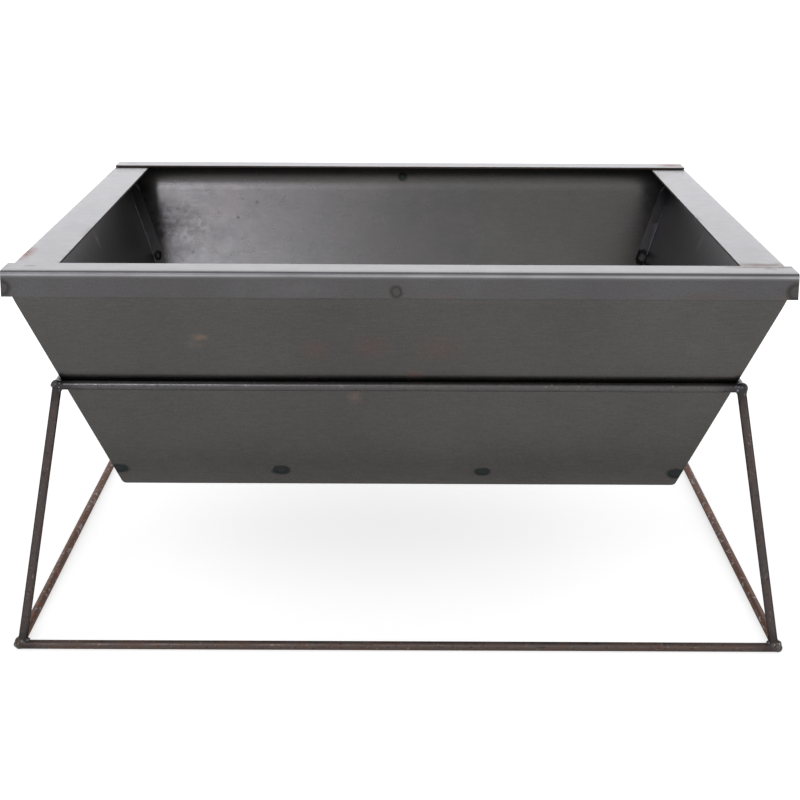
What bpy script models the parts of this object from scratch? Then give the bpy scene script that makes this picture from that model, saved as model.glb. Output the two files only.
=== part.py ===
"""Raw steel fire pit: a folded sheet bowl that hangs in a welded stand of round rod.

Metres, +Z up. The origin is on the ground under the middle of the stand, -Y is the front
and +X is the right hand side. The bowl lifts straight up out of the ring of the stand.
"""

import math

import bmesh
import bpy
from mathutils import Matrix, Vector

# Sheet metal
SHEET = 0.002                 # thickness of every folded sheet
GAP = 0.0003                  # clearance between two faces that touch on the real thing
BEND_RADIUS = 0.003           # outer radius of a folded edge
BEND_STEPS = 4                # flats that make up one fold

# Rim: an angle along the front and one along the rear, over the ends of the side flanges
RIM_HEIGHT = 0.331            # top of the rims above the ground
FRONT_RIM_LENGTH = 0.658      # end to end, left to right
REAR_RIM_LENGTH = 0.652       # the rear rim is cut a little shorter
RIM_DEPTH = 0.650             # front lip face to rear lip face
RIM_FLANGE = 0.034            # flat that reaches inwards from the lip face
LIP_DROP = 0.022              # height of the turned-down lip

# Bowl: four sloping walls round a shallow pan
BOWL_DEPTH = 0.208            # top of the rims down to the lower edges of the walls
FLOOR_WIDTH = 0.4914          # over the side walls at their lower edges
FLOOR_DEPTH = 0.494           # over the front and rear walls at their lower edges
SIDE_TOP_WIDTH = 0.657        # over the side walls, measured to the sharp top corners
SIDE_FLANGE = 0.040           # flange that each side wall turns inwards at the top
WALL_OVERHANG = 0.0003        # front and rear walls stand past the side walls by this
WALL_CORNER_RADIUS = 0.004    # lower corners of the front and rear walls
UPSTAND_CLEARANCE = 0.004     # top of the wall upstand to the underside of the rim
CORNER_TAB = 0.013            # side wall tab that laps the front or rear wall
TAB_RELIEF = 0.003            # tab ends short of the fold of the upstand and of the pan
PAN_RISE = 0.001              # underside of the pan above the lower edges of the walls
PAN_FLANGE = 0.022            # upturned edge of the pan, inside the walls

# Stand: ring, splayed legs and base frame
ROD_DIAMETER = 0.008
ROD_SIDES = 24
RING_HEIGHT = 0.2255          # rod axis of the ring above the ground
BASE_WIDTH = 0.655            # rod axis to rod axis, left to right
BASE_DEPTH = 0.666            # rod axis to rod axis, front to rear
LEG_INSET = 0.0025            # a leg stands on the front or rear rod, this far from its corner
WELD_REACH = 0.008            # weld metal runs this far along each rod from its corner
WELD_RADIUS = 0.0049          # ball of weld metal at a corner
WELD_SIDES = 16

LEFT, RIGHT = -1, 1
FRONT, REAR = -1, 1

SAME_HEIGHT = 1e-6            # heights closer than this are one height
FACING = 0.5                  # a face looks along an axis when its normal has this much of it
CORNER_STEPS = 3              # flats that make up a rounded plate corner
SMOOTH_ANGLE = math.radians(40)

# Heights and half sizes that follow from the sizes above
rod_radius = ROD_DIAMETER / 2
floor_z = RIM_HEIGHT - BOWL_DEPTH
side_top_z = RIM_HEIGHT - SHEET - GAP
upstand_fold_z = RIM_HEIGHT - LIP_DROP
upstand_top_z = RIM_HEIGHT - SHEET - UPSTAND_CLEARANCE
wall_top_half_depth = RIM_DEPTH / 2 - SHEET - GAP
side_end_half_depth = wall_top_half_depth - SHEET - GAP
pan_z = floor_z + PAN_RISE

# Slopes: how far a wall moves out for each metre that it rises
front_slope = (wall_top_half_depth - FLOOR_DEPTH / 2) / (upstand_fold_z - floor_z)
side_slope = (SIDE_TOP_WIDTH - FLOOR_WIDTH) / 2 / (side_top_z - floor_z)


def front_half_depth(z, inset=0.0):
    """Half depth of the bowl at height z, `inset` inside the outer face of the front wall."""
    return FLOOR_DEPTH / 2 + (z - floor_z) * front_slope - inset * math.hypot(1, front_slope)


def side_half_width(z, inset=0.0):
    """Half width of the bowl at height z, `inset` inside the outer face of a side wall."""
    return FLOOR_WIDTH / 2 + (z - floor_z) * side_slope - inset * math.hypot(1, side_slope)


def clear_scene():
    for obj in list(bpy.data.objects):
        bpy.data.objects.remove(obj, do_unlink=True)


def new_collection(name):
    collection = bpy.data.collections.new(name)
    bpy.context.scene.collection.children.link(collection)
    return collection


def new_frame(name, height):
    """Empty on the vertical centre line that carries one body of the fire pit."""
    empty = bpy.data.objects.new(name, None)
    empty.location = (0, 0, height)
    parts.objects.link(empty)
    return empty


def steel(name, colour, roughness, metallic):
    material = bpy.data.materials.new(name)
    material.use_nodes = True
    shader = material.node_tree.nodes["Principled BSDF"]
    shader.inputs["Base Color"].default_value = (*colour, 1)
    shader.inputs["Roughness"].default_value = roughness
    shader.inputs["Metallic"].default_value = metallic
    return material


def sheet_steel(name):
    return steel(name, (0.09, 0.09, 0.092), 0.45, 0.8)


def rim_steel(name):
    return steel(name, (0.16, 0.16, 0.165), 0.4, 0.85)


def rod_steel(name):
    return steel(name, (0.07, 0.055, 0.05), 0.55, 0.7)


def weld_steel(name):
    return steel(name, (0.05, 0.052, 0.056), 0.5, 0.8)


def add_part(name, mesh, body, finish, matrix=None):
    """Link one sub-part; `matrix` places it in the world before it is parented."""
    obj = bpy.data.objects.new(name, mesh)
    parts.objects.link(obj)
    obj.parent = body
    world = matrix or Matrix.Identity(4)
    obj.matrix_basis = Matrix.Translation(-body.location) @ world
    mesh.materials.clear()
    mesh.materials.append(finish(name + "_steel"))
    return obj


def add_thickness(obj):
    """Give an open folded surface its sheet thickness, towards the inside of the bowl."""
    solidify = obj.modifiers.new("sheet_thickness", "SOLIDIFY")
    solidify.solidify_mode = "NON_MANIFOLD"
    solidify.nonmanifold_thickness_mode = "CONSTRAINTS"
    solidify.nonmanifold_merge_threshold = 1e-5   # far below the sheet thickness
    solidify.thickness = SHEET
    solidify.offset = -1


def mesh_from(bm, name):
    mesh = bpy.data.meshes.new(name)
    bm.to_mesh(mesh)
    bm.free()
    return mesh


def tapered_tube(low_z, low_half, high_z, high_half):
    """Four sloping faces of a tapered box, as a bmesh with no floor and no lid."""
    bm = bmesh.new()
    bmesh.ops.create_cube(bm, size=2)
    for vert in bm.verts:
        half_x, half_y = high_half if vert.co.z > 0 else low_half
        z = high_z if vert.co.z > 0 else low_z
        vert.co = (vert.co.x * half_x, vert.co.y * half_y, z)
    bm.normal_update()
    flat = [face for face in bm.faces if abs(face.normal.x) + abs(face.normal.y) < FACING]
    bmesh.ops.delete(bm, geom=flat, context="FACES")
    return bm


def keep_side(bm, point, normal, chosen=lambda face: True):
    """Cut the chosen faces by a plane and drop what lies on the side `normal` points to."""
    geometry = set()
    for face in filter(chosen, bm.faces):
        geometry.update((face, *face.edges, *face.verts))
    bmesh.ops.bisect_plane(bm, geom=list(geometry), dist=SAME_HEIGHT, plane_co=point, plane_no=normal)
    bm.normal_update()
    beyond = [face for face in filter(chosen, bm.faces)
              if (face.calc_center_median() - point).dot(normal) > 0]
    bmesh.ops.delete(bm, geom=beyond, context="FACES")


def edges_at_height(bm, z):
    return [e for e in bm.edges if all(abs(v.co.z - z) < SAME_HEIGHT for v in e.verts)]


def extrude_edges(bm, edges, move):
    """Turn a flange out of the given edges, which then lie in the fold."""
    made = bmesh.ops.extrude_edge_only(bm, edges=edges)
    for element in made["geom"]:
        if isinstance(element, bmesh.types.BMVert):
            element.co += move


def round_fold(bm, edges, fold_angle):
    """Round a sharp fold to BEND_RADIUS; `fold_angle` is the turn of the sheet."""
    reach = BEND_RADIUS * math.tan(fold_angle / 2)
    bmesh.ops.bevel(bm, geom=edges, offset=reach, offset_type="OFFSET",
                    segments=BEND_STEPS, profile=0.5, affect="EDGES")


def face_outwards(bm, outward):
    """Make the normals consistent, with the largest face looking along `outward`."""
    bmesh.ops.recalc_face_normals(bm, faces=bm.faces)
    largest = max(bm.faces, key=lambda face: face.calc_area())
    if largest.normal.dot(outward) < 0:
        bmesh.ops.reverse_faces(bm, faces=bm.faces)


def end_wall_mesh():
    """Front wall: a sloping plate with a short upright edge that backs the lip of the rim."""
    low_half = (side_half_width(floor_z) + WALL_OVERHANG, FLOOR_DEPTH / 2)
    high_half = (side_half_width(upstand_fold_z) + WALL_OVERHANG, wall_top_half_depth)
    bm = tapered_tube(floor_z, low_half, upstand_fold_z, high_half)
    others = [face for face in bm.faces if face.normal.y > -FACING]
    bmesh.ops.delete(bm, geom=others, context="FACES")
    rise = Vector((0, 0, upstand_top_z - upstand_fold_z))
    extrude_edges(bm, edges_at_height(bm, upstand_fold_z), rise)
    corners = [vert for vert in bm.verts if abs(vert.co.z - floor_z) < SAME_HEIGHT]
    bmesh.ops.bevel(bm, geom=corners, offset=WALL_CORNER_RADIUS, segments=CORNER_STEPS,
                    profile=0.5, affect="VERTICES")
    face_outwards(bm, Vector((0, -1, 0)))
    return mesh_from(bm, "end_wall")


def side_wall_mesh():
    """Left wall: a sloping plate, a top flange turned inwards and a lapping tab at each end."""
    lap = SHEET + GAP
    low_half = (side_half_width(floor_z), front_half_depth(floor_z, lap))
    high_half = (side_half_width(side_top_z), front_half_depth(side_top_z, lap))
    bm = tapered_tube(floor_z, low_half, side_top_z, high_half)

    slope = Vector((side_slope, 0, 1)).normalized()
    inwards = Vector((slope.z, 0, slope.x))
    tab_end = Vector((-side_half_width(floor_z), 0, floor_z)) + inwards * CORNER_TAB
    keep_side(bm, tab_end, inwards)
    for end in (FRONT, REAR):
        keep_side(bm, Vector((0, end * side_end_half_depth, 0)), Vector((0, end, 0)))

    tab_low = pan_z + PAN_FLANGE + TAB_RELIEF
    tab_high = upstand_fold_z - TAB_RELIEF
    for end in (FRONT, REAR):
        for height, away in ((tab_low, -1), (tab_high, 1)):
            keep_side(bm, Vector((0, 0, height)), Vector((0, 0, away)),
                      lambda face: face.normal.y * end > FACING)

    fold = edges_at_height(bm, side_top_z)
    extrude_edges(bm, fold, Vector((SIDE_FLANGE, 0, 0)))
    round_fold(bm, fold, math.pi / 2 + math.atan(side_slope))
    face_outwards(bm, -inwards)
    return mesh_from(bm, "side_wall")


def rim_mesh(length):
    """Front rim: a flat flange over the bowl and a lip turned down in front of the wall."""
    bm = bmesh.new()
    bmesh.ops.create_grid(bm, x_segments=1, y_segments=1, size=0.5)
    for vert in bm.verts:
        vert.co.x *= length
        vert.co.y = (vert.co.y + 0.5) * RIM_FLANGE - RIM_DEPTH / 2
        vert.co.z = RIM_HEIGHT
    middle_y = (RIM_FLANGE - RIM_DEPTH) / 2
    front_edge = [e for e in bm.edges if all(v.co.y < middle_y for v in e.verts)]
    extrude_edges(bm, front_edge, Vector((0, 0, -LIP_DROP)))
    round_fold(bm, front_edge, math.pi / 2)
    face_outwards(bm, Vector((0, 0, 1)))
    return mesh_from(bm, "rim")


def pan_mesh():
    """Bottom pan: a flat floor with its four edges turned up inside the walls."""
    lap = SHEET + GAP
    top_z = pan_z + PAN_FLANGE
    low_half = (side_half_width(pan_z, lap), front_half_depth(pan_z, lap))
    high_half = (side_half_width(top_z, lap), front_half_depth(top_z, lap))
    bm = tapered_tube(pan_z, low_half, top_z, high_half)
    bmesh.ops.holes_fill(bm, edges=edges_at_height(bm, pan_z))
    bmesh.ops.recalc_face_normals(bm, faces=bm.faces)
    folds = [edge for edge in bm.edges if not edge.is_boundary]
    bmesh.ops.bevel(bm, geom=folds, offset=BEND_RADIUS, offset_type="OFFSET",
                    segments=BEND_STEPS, profile=0.5, affect="EDGES")
    face_outwards(bm, Vector((0, 0, -1)))
    return mesh_from(bm, "bottom_pan")


def build_bowl(body):
    """Seven sheets; the rear and right ones are the front and left ones turned half round."""
    half_turn = Matrix.Rotation(math.pi, 4, "Z")
    sheets = [
        add_part("front_wall", end_wall_mesh(), body, sheet_steel),
        add_part("rear_wall", end_wall_mesh(), body, sheet_steel, half_turn),
        add_part("left_wall", side_wall_mesh(), body, sheet_steel),
        add_part("right_wall", side_wall_mesh(), body, sheet_steel, half_turn),
        add_part("front_rim", rim_mesh(FRONT_RIM_LENGTH), body, rim_steel),
        add_part("rear_rim", rim_mesh(REAR_RIM_LENGTH), body, rim_steel, half_turn),
        add_part("bottom_pan", pan_mesh(), body, sheet_steel),
    ]
    for sheet in sheets:
        add_thickness(sheet)


def ring_corner(side, end):
    """Crossing of the ring axes: the rods lie just outside the bowl that rests on them."""
    seat = -(rod_radius + GAP)
    half_width = side_half_width(RING_HEIGHT, seat) + WALL_OVERHANG
    return Vector((side * half_width, end * front_half_depth(RING_HEIGHT, seat), RING_HEIGHT))


def base_corner(side, end):
    return Vector((side * BASE_WIDTH / 2, end * BASE_DEPTH / 2, rod_radius))


def leg_foot(side, end):
    return base_corner(side, end) - Vector((side * LEG_INSET, 0, 0))


def place_along(start, finish):
    """Matrix that lays a Z-aligned shape from `start` towards `finish`, one flat facing down."""
    direction = (finish - start).normalized()
    level = Vector((0, 0, 1)).cross(direction).normalized()
    upper = direction.cross(level)
    turn = Matrix((level, upper, direction)).transposed().to_4x4()
    return Matrix.Translation(start) @ turn


def rod_mesh(name, radius, length, sides):
    """Straight rod from the origin up +Z, with flats square to the X and Y axes."""
    bm = bmesh.new()
    outer = radius / math.cos(math.pi / sides)
    turn = Matrix.Rotation(math.pi / sides, 4, "Z")
    lift = Matrix.Translation((0, 0, length / 2))
    bmesh.ops.create_cone(bm, cap_ends=True, segments=sides, radius1=outer, radius2=outer,
                          depth=length, matrix=lift @ turn)
    return mesh_from(bm, name)


def add_rod(name, start, finish, body):
    """Rod between two corners, cut short of the weld metal at both ends."""
    direction = (finish - start).normalized()
    trim = direction * (WELD_REACH + GAP)
    length = (finish - start).length - 2 * (WELD_REACH + GAP)
    mesh = rod_mesh(name, rod_radius, length, ROD_SIDES)
    add_part(name, mesh, body, rod_steel, place_along(start + trim, finish))
    mesh.shade_smooth()
    mesh.set_sharp_from_angle(angle=SMOOTH_ANGLE)


def fuse(name, pieces):
    """Boolean union of helper objects into one new mesh; the helpers are removed."""
    body = pieces[0]
    for other in pieces[1:]:
        union = body.modifiers.new("union", "BOOLEAN")
        union.operation = "UNION"
        union.solver = "EXACT"
        union.object = other
    bpy.context.view_layer.update()
    evaluated = body.evaluated_get(bpy.context.evaluated_depsgraph_get())
    mesh = bpy.data.meshes.new_from_object(evaluated)
    mesh.name = name
    mesh.transform(body.matrix_world)
    for piece in pieces:
        bpy.data.objects.remove(piece, do_unlink=True)
    return mesh


def add_helper(name, mesh, matrix):
    obj = bpy.data.objects.new(name, mesh)
    obj.matrix_world = matrix
    obj.hide_render = True
    obj.display_type = "WIRE"
    helpers.objects.link(obj)
    return obj


def clear_of_walls(corner):
    """Point just outside a corner of the ring, where a ball of weld metal clears the walls."""
    proud = WELD_RADIUS - rod_radius
    outward = Vector((math.copysign(proud * math.hypot(1, side_slope), corner.x),
                      math.copysign(proud * math.hypot(1, front_slope), corner.y), 0))
    return corner + outward


def weld_mesh(name, centre, arms):
    """Fused corner: a ball of weld metal and a stub of each rod that meets here.

    Each arm is the start of a rod's axis and the point that it runs to.
    """
    bm = bmesh.new()
    bmesh.ops.create_uvsphere(bm, u_segments=WELD_SIDES, v_segments=WELD_SIDES // 2,
                              radius=WELD_RADIUS)
    ball = add_helper("ball", mesh_from(bm, "ball"), Matrix.Translation(centre))
    stubs = []
    for start, finish in arms:
        mesh = rod_mesh("stub", rod_radius, WELD_REACH, ROD_SIDES)
        stubs.append(add_helper("stub", mesh, place_along(start, finish)))
    return fuse(name, [ball, *stubs])


def level_underside(mesh, z):
    """Grind a mesh flat at height z, closing the cut."""
    bm = bmesh.new()
    bm.from_mesh(mesh)
    geometry = [*bm.verts, *bm.edges, *bm.faces]
    cut = bmesh.ops.bisect_plane(bm, geom=geometry, dist=SAME_HEIGHT, plane_co=(0, 0, z),
                                 plane_no=(0, 0, 1), clear_inner=True)
    rim = [element for element in cut["geom_cut"] if isinstance(element, bmesh.types.BMEdge)]
    bmesh.ops.holes_fill(bm, edges=rim)
    bm.to_mesh(mesh)
    bm.free()


def corner_name(side, end):
    return f"{'front' if end == FRONT else 'rear'}_{'left' if side == LEFT else 'right'}"


def build_frame(label, corner_at, body):
    """Four rods round one level of the stand, named from `label`."""
    for end, word in ((FRONT, "front"), (REAR, "rear")):
        add_rod(f"{label}_{word}_rod", corner_at(LEFT, end), corner_at(RIGHT, end), body)
    for side, word in ((LEFT, "left"), (RIGHT, "right")):
        add_rod(f"{label}_{word}_rod", corner_at(side, FRONT), corner_at(side, REAR), body)


def build_corner(side, end, body):
    """One leg with the welds at its head and foot."""
    head, foot, corner = ring_corner(side, end), leg_foot(side, end), base_corner(side, end)
    place = corner_name(side, end)
    add_rod(f"leg_{place}", foot, head, body)
    ring_arms = ((head, ring_corner(-side, end)), (head, ring_corner(side, -end)), (head, foot))
    head_weld = weld_mesh("ring_weld", clear_of_walls(head), ring_arms)
    add_part(f"ring_weld_{place}", head_weld, body, weld_steel)
    base_arms = ((corner, base_corner(-side, end)), (corner, base_corner(side, -end)), (foot, head))
    foot_weld = weld_mesh("base_weld", corner, base_arms)
    level_underside(foot_weld, 0)
    add_part(f"base_weld_{place}", foot_weld, body, weld_steel)


def build_stand(body):
    build_frame("ring", ring_corner, body)
    build_frame("base", base_corner, body)
    for end in (FRONT, REAR):
        for side in (LEFT, RIGHT):
            build_corner(side, end, body)


clear_scene()
parts = new_collection("fire_pit")
helpers = new_collection("helpers")
stand_frame = new_frame("stand_frame", 0)
bowl_frame = new_frame("bowl_frame", RING_HEIGHT)
build_bowl(bowl_frame)
build_stand(stand_frame)
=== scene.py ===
"""Looks of the raw steel fire pit: folded sheets, drawn rods, welds, heat marks and rust.

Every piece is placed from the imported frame, in metres, +Z up, front towards -Y. The sheets of
the bowl ride on the body "bowl", and the rods and welds of the stand ride on the body "stand".
"""

import logging
import math
from dataclasses import dataclass, replace
from enum import Enum
from typing import Any, Callable

import bmesh
import bpy
import numpy as np
from bmesh.types import BMesh
from bpy.types import Material, Mesh, Node, NodeSocket, NodeTree, Object
from mathutils import Matrix, Vector


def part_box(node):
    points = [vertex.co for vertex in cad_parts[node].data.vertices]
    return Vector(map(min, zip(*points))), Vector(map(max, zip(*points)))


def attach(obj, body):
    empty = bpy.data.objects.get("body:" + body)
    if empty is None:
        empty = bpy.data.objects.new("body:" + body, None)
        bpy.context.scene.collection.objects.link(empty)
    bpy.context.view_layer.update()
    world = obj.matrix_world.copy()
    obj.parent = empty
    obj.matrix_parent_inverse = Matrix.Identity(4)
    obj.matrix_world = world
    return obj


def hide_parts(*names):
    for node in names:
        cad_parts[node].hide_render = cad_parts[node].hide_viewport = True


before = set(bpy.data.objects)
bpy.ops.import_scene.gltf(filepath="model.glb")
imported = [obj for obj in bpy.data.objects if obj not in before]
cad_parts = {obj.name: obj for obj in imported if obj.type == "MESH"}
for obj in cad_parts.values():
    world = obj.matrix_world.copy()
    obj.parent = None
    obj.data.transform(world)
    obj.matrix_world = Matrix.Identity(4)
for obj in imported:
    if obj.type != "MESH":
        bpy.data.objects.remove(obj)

log = logging.getLogger("fire_pit")
MM = 0.001
FAR = 0.05                    # distances stored on a mesh stop here, in metres
Fold = Callable[[np.ndarray], np.ndarray]   # distance of each point from a sheet's fold


def linear(hex_colour: str) -> tuple[float, float, float, float]:
    """Turn an sRGB colour into linear light.

    Args:
        hex_colour: six hex digits, such as "5A5A5B".

    Returns:
        Linear red, green, blue and an alpha of 1.
    """
    levels = [int(hex_colour[i:i + 2], 16) / 255 for i in (0, 2, 4)]
    return (*(v / 12.92 if v <= 0.04045 else ((v + 0.055) / 1.055) ** 2.4 for v in levels), 1.0)


def add_node(tree: NodeTree, kind: str, inputs: dict[str | int, Any] | None = None,
             **settings: Any) -> Node:
    """Add one node to a tree, with its settings, values and links.

    Args:
        tree: shader or geometry tree that the node joins.
        kind: the node's type name.
        inputs: value, or output socket to link, for each input by name or index.
        **settings: properties of the node.

    Returns:
        The new node.
    """
    node = tree.nodes.new(kind)
    for name, value in settings.items():
        setattr(node, name, value)
    for key, value in (inputs or {}).items():
        if isinstance(value, NodeSocket):
            tree.links.new(value, node.inputs[key])
        else:
            node.inputs[key].default_value = value
    return node


def new_material(name: str) -> tuple[Material, NodeTree, NodeSocket]:
    """Make a material with a node tree that reads places on the piece.

    Args:
        name: the real material or finish.

    Returns:
        The material, its tree, and the position in metres.
    """
    material = bpy.data.materials.new(name)
    material.use_nodes = True
    tree = material.node_tree
    tree.nodes.clear()
    return material, tree, add_node(tree, "ShaderNodeTexCoord").outputs["Object"]


def band(tree: NodeTree, value: NodeSocket, stops: list[tuple[float, float]]) -> NodeSocket:
    """Turn a value into a level by straight lines between stops.

    Args:
        tree: shader tree.
        value: the value that is read.
        stops: pairs of value and level, in rising order of value.

    Returns:
        The level.
    """
    low, high = stops[0][0], stops[-1][0]
    spread = add_node(tree, "ShaderNodeMapRange", {0: value, 1: low, 2: high})
    ramp = add_node(tree, "ShaderNodeValToRGB", {0: spread.outputs[0]})
    elements = ramp.color_ramp.elements
    while len(elements) < len(stops):
        elements.new(0.5)
    for element, (place, level) in zip(elements, stops):
        element.position = (place - low) / (high - low)
        element.color = (level, level, level, 1)
    return ramp.outputs[0]


def work_out(tree: NodeTree, value: Any, *steps: tuple[Any, ...]) -> NodeSocket:
    """Work out a value by steps of arithmetic.

    Args:
        tree: shader or geometry tree.
        value: number or socket that the first step starts from.
        *steps: for each step its operation, and the number or socket that it takes, if any.

    Returns:
        The result of the last step.
    """
    for operation, *others in steps:
        step = add_node(tree, "ShaderNodeMath", dict(enumerate([value, *others])),
                        operation=operation)
        value = step.outputs[0]
    return value


def paint(tree: NodeTree, base: Any, coats: list[tuple[Any, Any]], mode: str = "MIX") -> NodeSocket:
    """Lay colours over a base, one after the other.

    Args:
        tree: shader tree.
        base: colour or socket that lies under them.
        coats: for each coat how much of it shows, from 0 to 1, and its colour; both may be sockets.
        mode: how a coat acts on what lies under it.

    Returns:
        The colour on top.
    """
    for share, colour in coats:
        mixed = add_node(tree, "ShaderNodeMix", {0: share, 6: base, 7: colour},
                         data_type="RGBA", blend_type=mode)
        base = mixed.outputs[2]
    return base


def noise(tree: NodeTree, place: NodeSocket, size: float, detail: float = 2.0,
          stretch: tuple[float, float, float] = (1, 1, 1)) -> NodeSocket:
    """Cloudy pattern of a real size.

    Args:
        tree: shader tree.
        place: position in metres.
        size: width of one cloud in metres.
        detail: how many finer layers lie over it.
        stretch: how many times longer the clouds are along X, Y and Z.

    Returns:
        Level from 0 to 1.
    """
    scale = tuple(1 / (size * s) for s in stretch)
    placed = add_node(tree, "ShaderNodeMapping", {"Vector": place, "Scale": scale})
    cloud = add_node(tree, "ShaderNodeTexNoise",
                     {"Vector": placed.outputs[0], "Scale": 1.0, "Detail": detail})
    return cloud.outputs[0]


def surface(tree: NodeTree, inputs: dict[str, Any], relief: NodeSocket | None = None,
            depth: float = 0.0) -> None:
    """Close a material's tree with its surface.

    Args:
        tree: shader tree.
        inputs: value or socket for inputs of the surface.
        relief: level of the relief that is too fine to model, where there is one.
        depth: height of the relief in metres.
    """
    if relief is not None:
        bump = add_node(tree, "ShaderNodeBump", {"Height": relief, "Distance": depth})
        inputs = inputs | {"Normal": bump.outputs[0]}
    shader = add_node(tree, "ShaderNodeBsdfPrincipled", inputs)
    add_node(tree, "ShaderNodeOutputMaterial", {0: shader.outputs[0]})


class Soil(Enum):
    """Colour of what is left on the steel by rust, hands and rubbing, and of painted shadow."""

    PALE = "AEAEB2"
    WORN = "6E6C6D"
    TAN = "8A7C70"
    RED = "7E4B3F"
    BROWN = "5A4A42"
    # soot, and also painted shadow in a gap between sheets
    SOOT_AND_SHADOW = "2E2C2C"
    DULL = "2B292A"

    @property
    def rusty(self) -> bool:
        """Whether it is rust, which is rough, or metal that is only rubbed or soiled."""
        return self in (Soil.TAN, Soil.RED, Soil.BROWN)


@dataclass(frozen=True)
class Stain:
    """Soft blotch of rust, handling or painted shadow on a surface: place and reach in mm, and how
    strong.
    """

    centre: tuple[float, float, float]
    spread: tuple[float, float, float]
    soil: Soil
    strength: float
    raggedness: float = 1.2       # how far its outline wanders, beside its size

    def mask(self, tree: NodeTree, place: NodeSocket, ragged: NodeSocket) -> NodeSocket:
        """Level of the stain at a point.

        Args:
            tree: shader tree.
            place: position in metres.
            ragged: pattern from 0 to 1 that breaks up the outline.

        Returns:
            Level from 0 to `strength`.
        """
        centre, spread = (tuple(v * MM for v in size) for size in (self.centre, self.spread))
        away = add_node(tree, "ShaderNodeVectorMath", {0: place, 1: centre},
                        operation="SUBTRACT")
        scaled = add_node(tree, "ShaderNodeVectorMath", {0: away.outputs[0], 1: spread},
                          operation="DIVIDE")
        reach = add_node(tree, "ShaderNodeVectorMath", {0: scaled.outputs[0]},
                         operation="LENGTH")
        uneven = work_out(tree, ragged, ("SUBTRACT", 0.5), ("MULTIPLY", self.raggedness),
                          ("ADD", reach.outputs[1]))
        return band(tree, uneven, [(-0.05, self.strength), (0.4, self.strength * 0.45), (1.0, 0.0)])


class Rolling(Enum):
    """Way that a sheet ran through the mill, which its fine lines follow."""

    LEFT_TO_RIGHT = (16, 1, 1)
    FRONT_TO_REAR = (1, 16, 1)


class SpotMark(Enum):
    """Colour that a spot weld leaves on the sheet: levels at distances from its axis in mm."""

    RING = ((0.0, 0.28), (2.8, 0.24), (3.9, 0.66), (5.0, 0.5), (6.8, 0.0))
    SCORCH = ((0.0, 0.72), (2.6, 0.82), (4.2, 0.95), (5.0, 0.8), (6.6, 0.0))
    BURN = ((0.0, 0.1), (1.6, 0.3), (2.8, 0.95), (4.4, 0.9), (5.8, 0.0))


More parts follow.
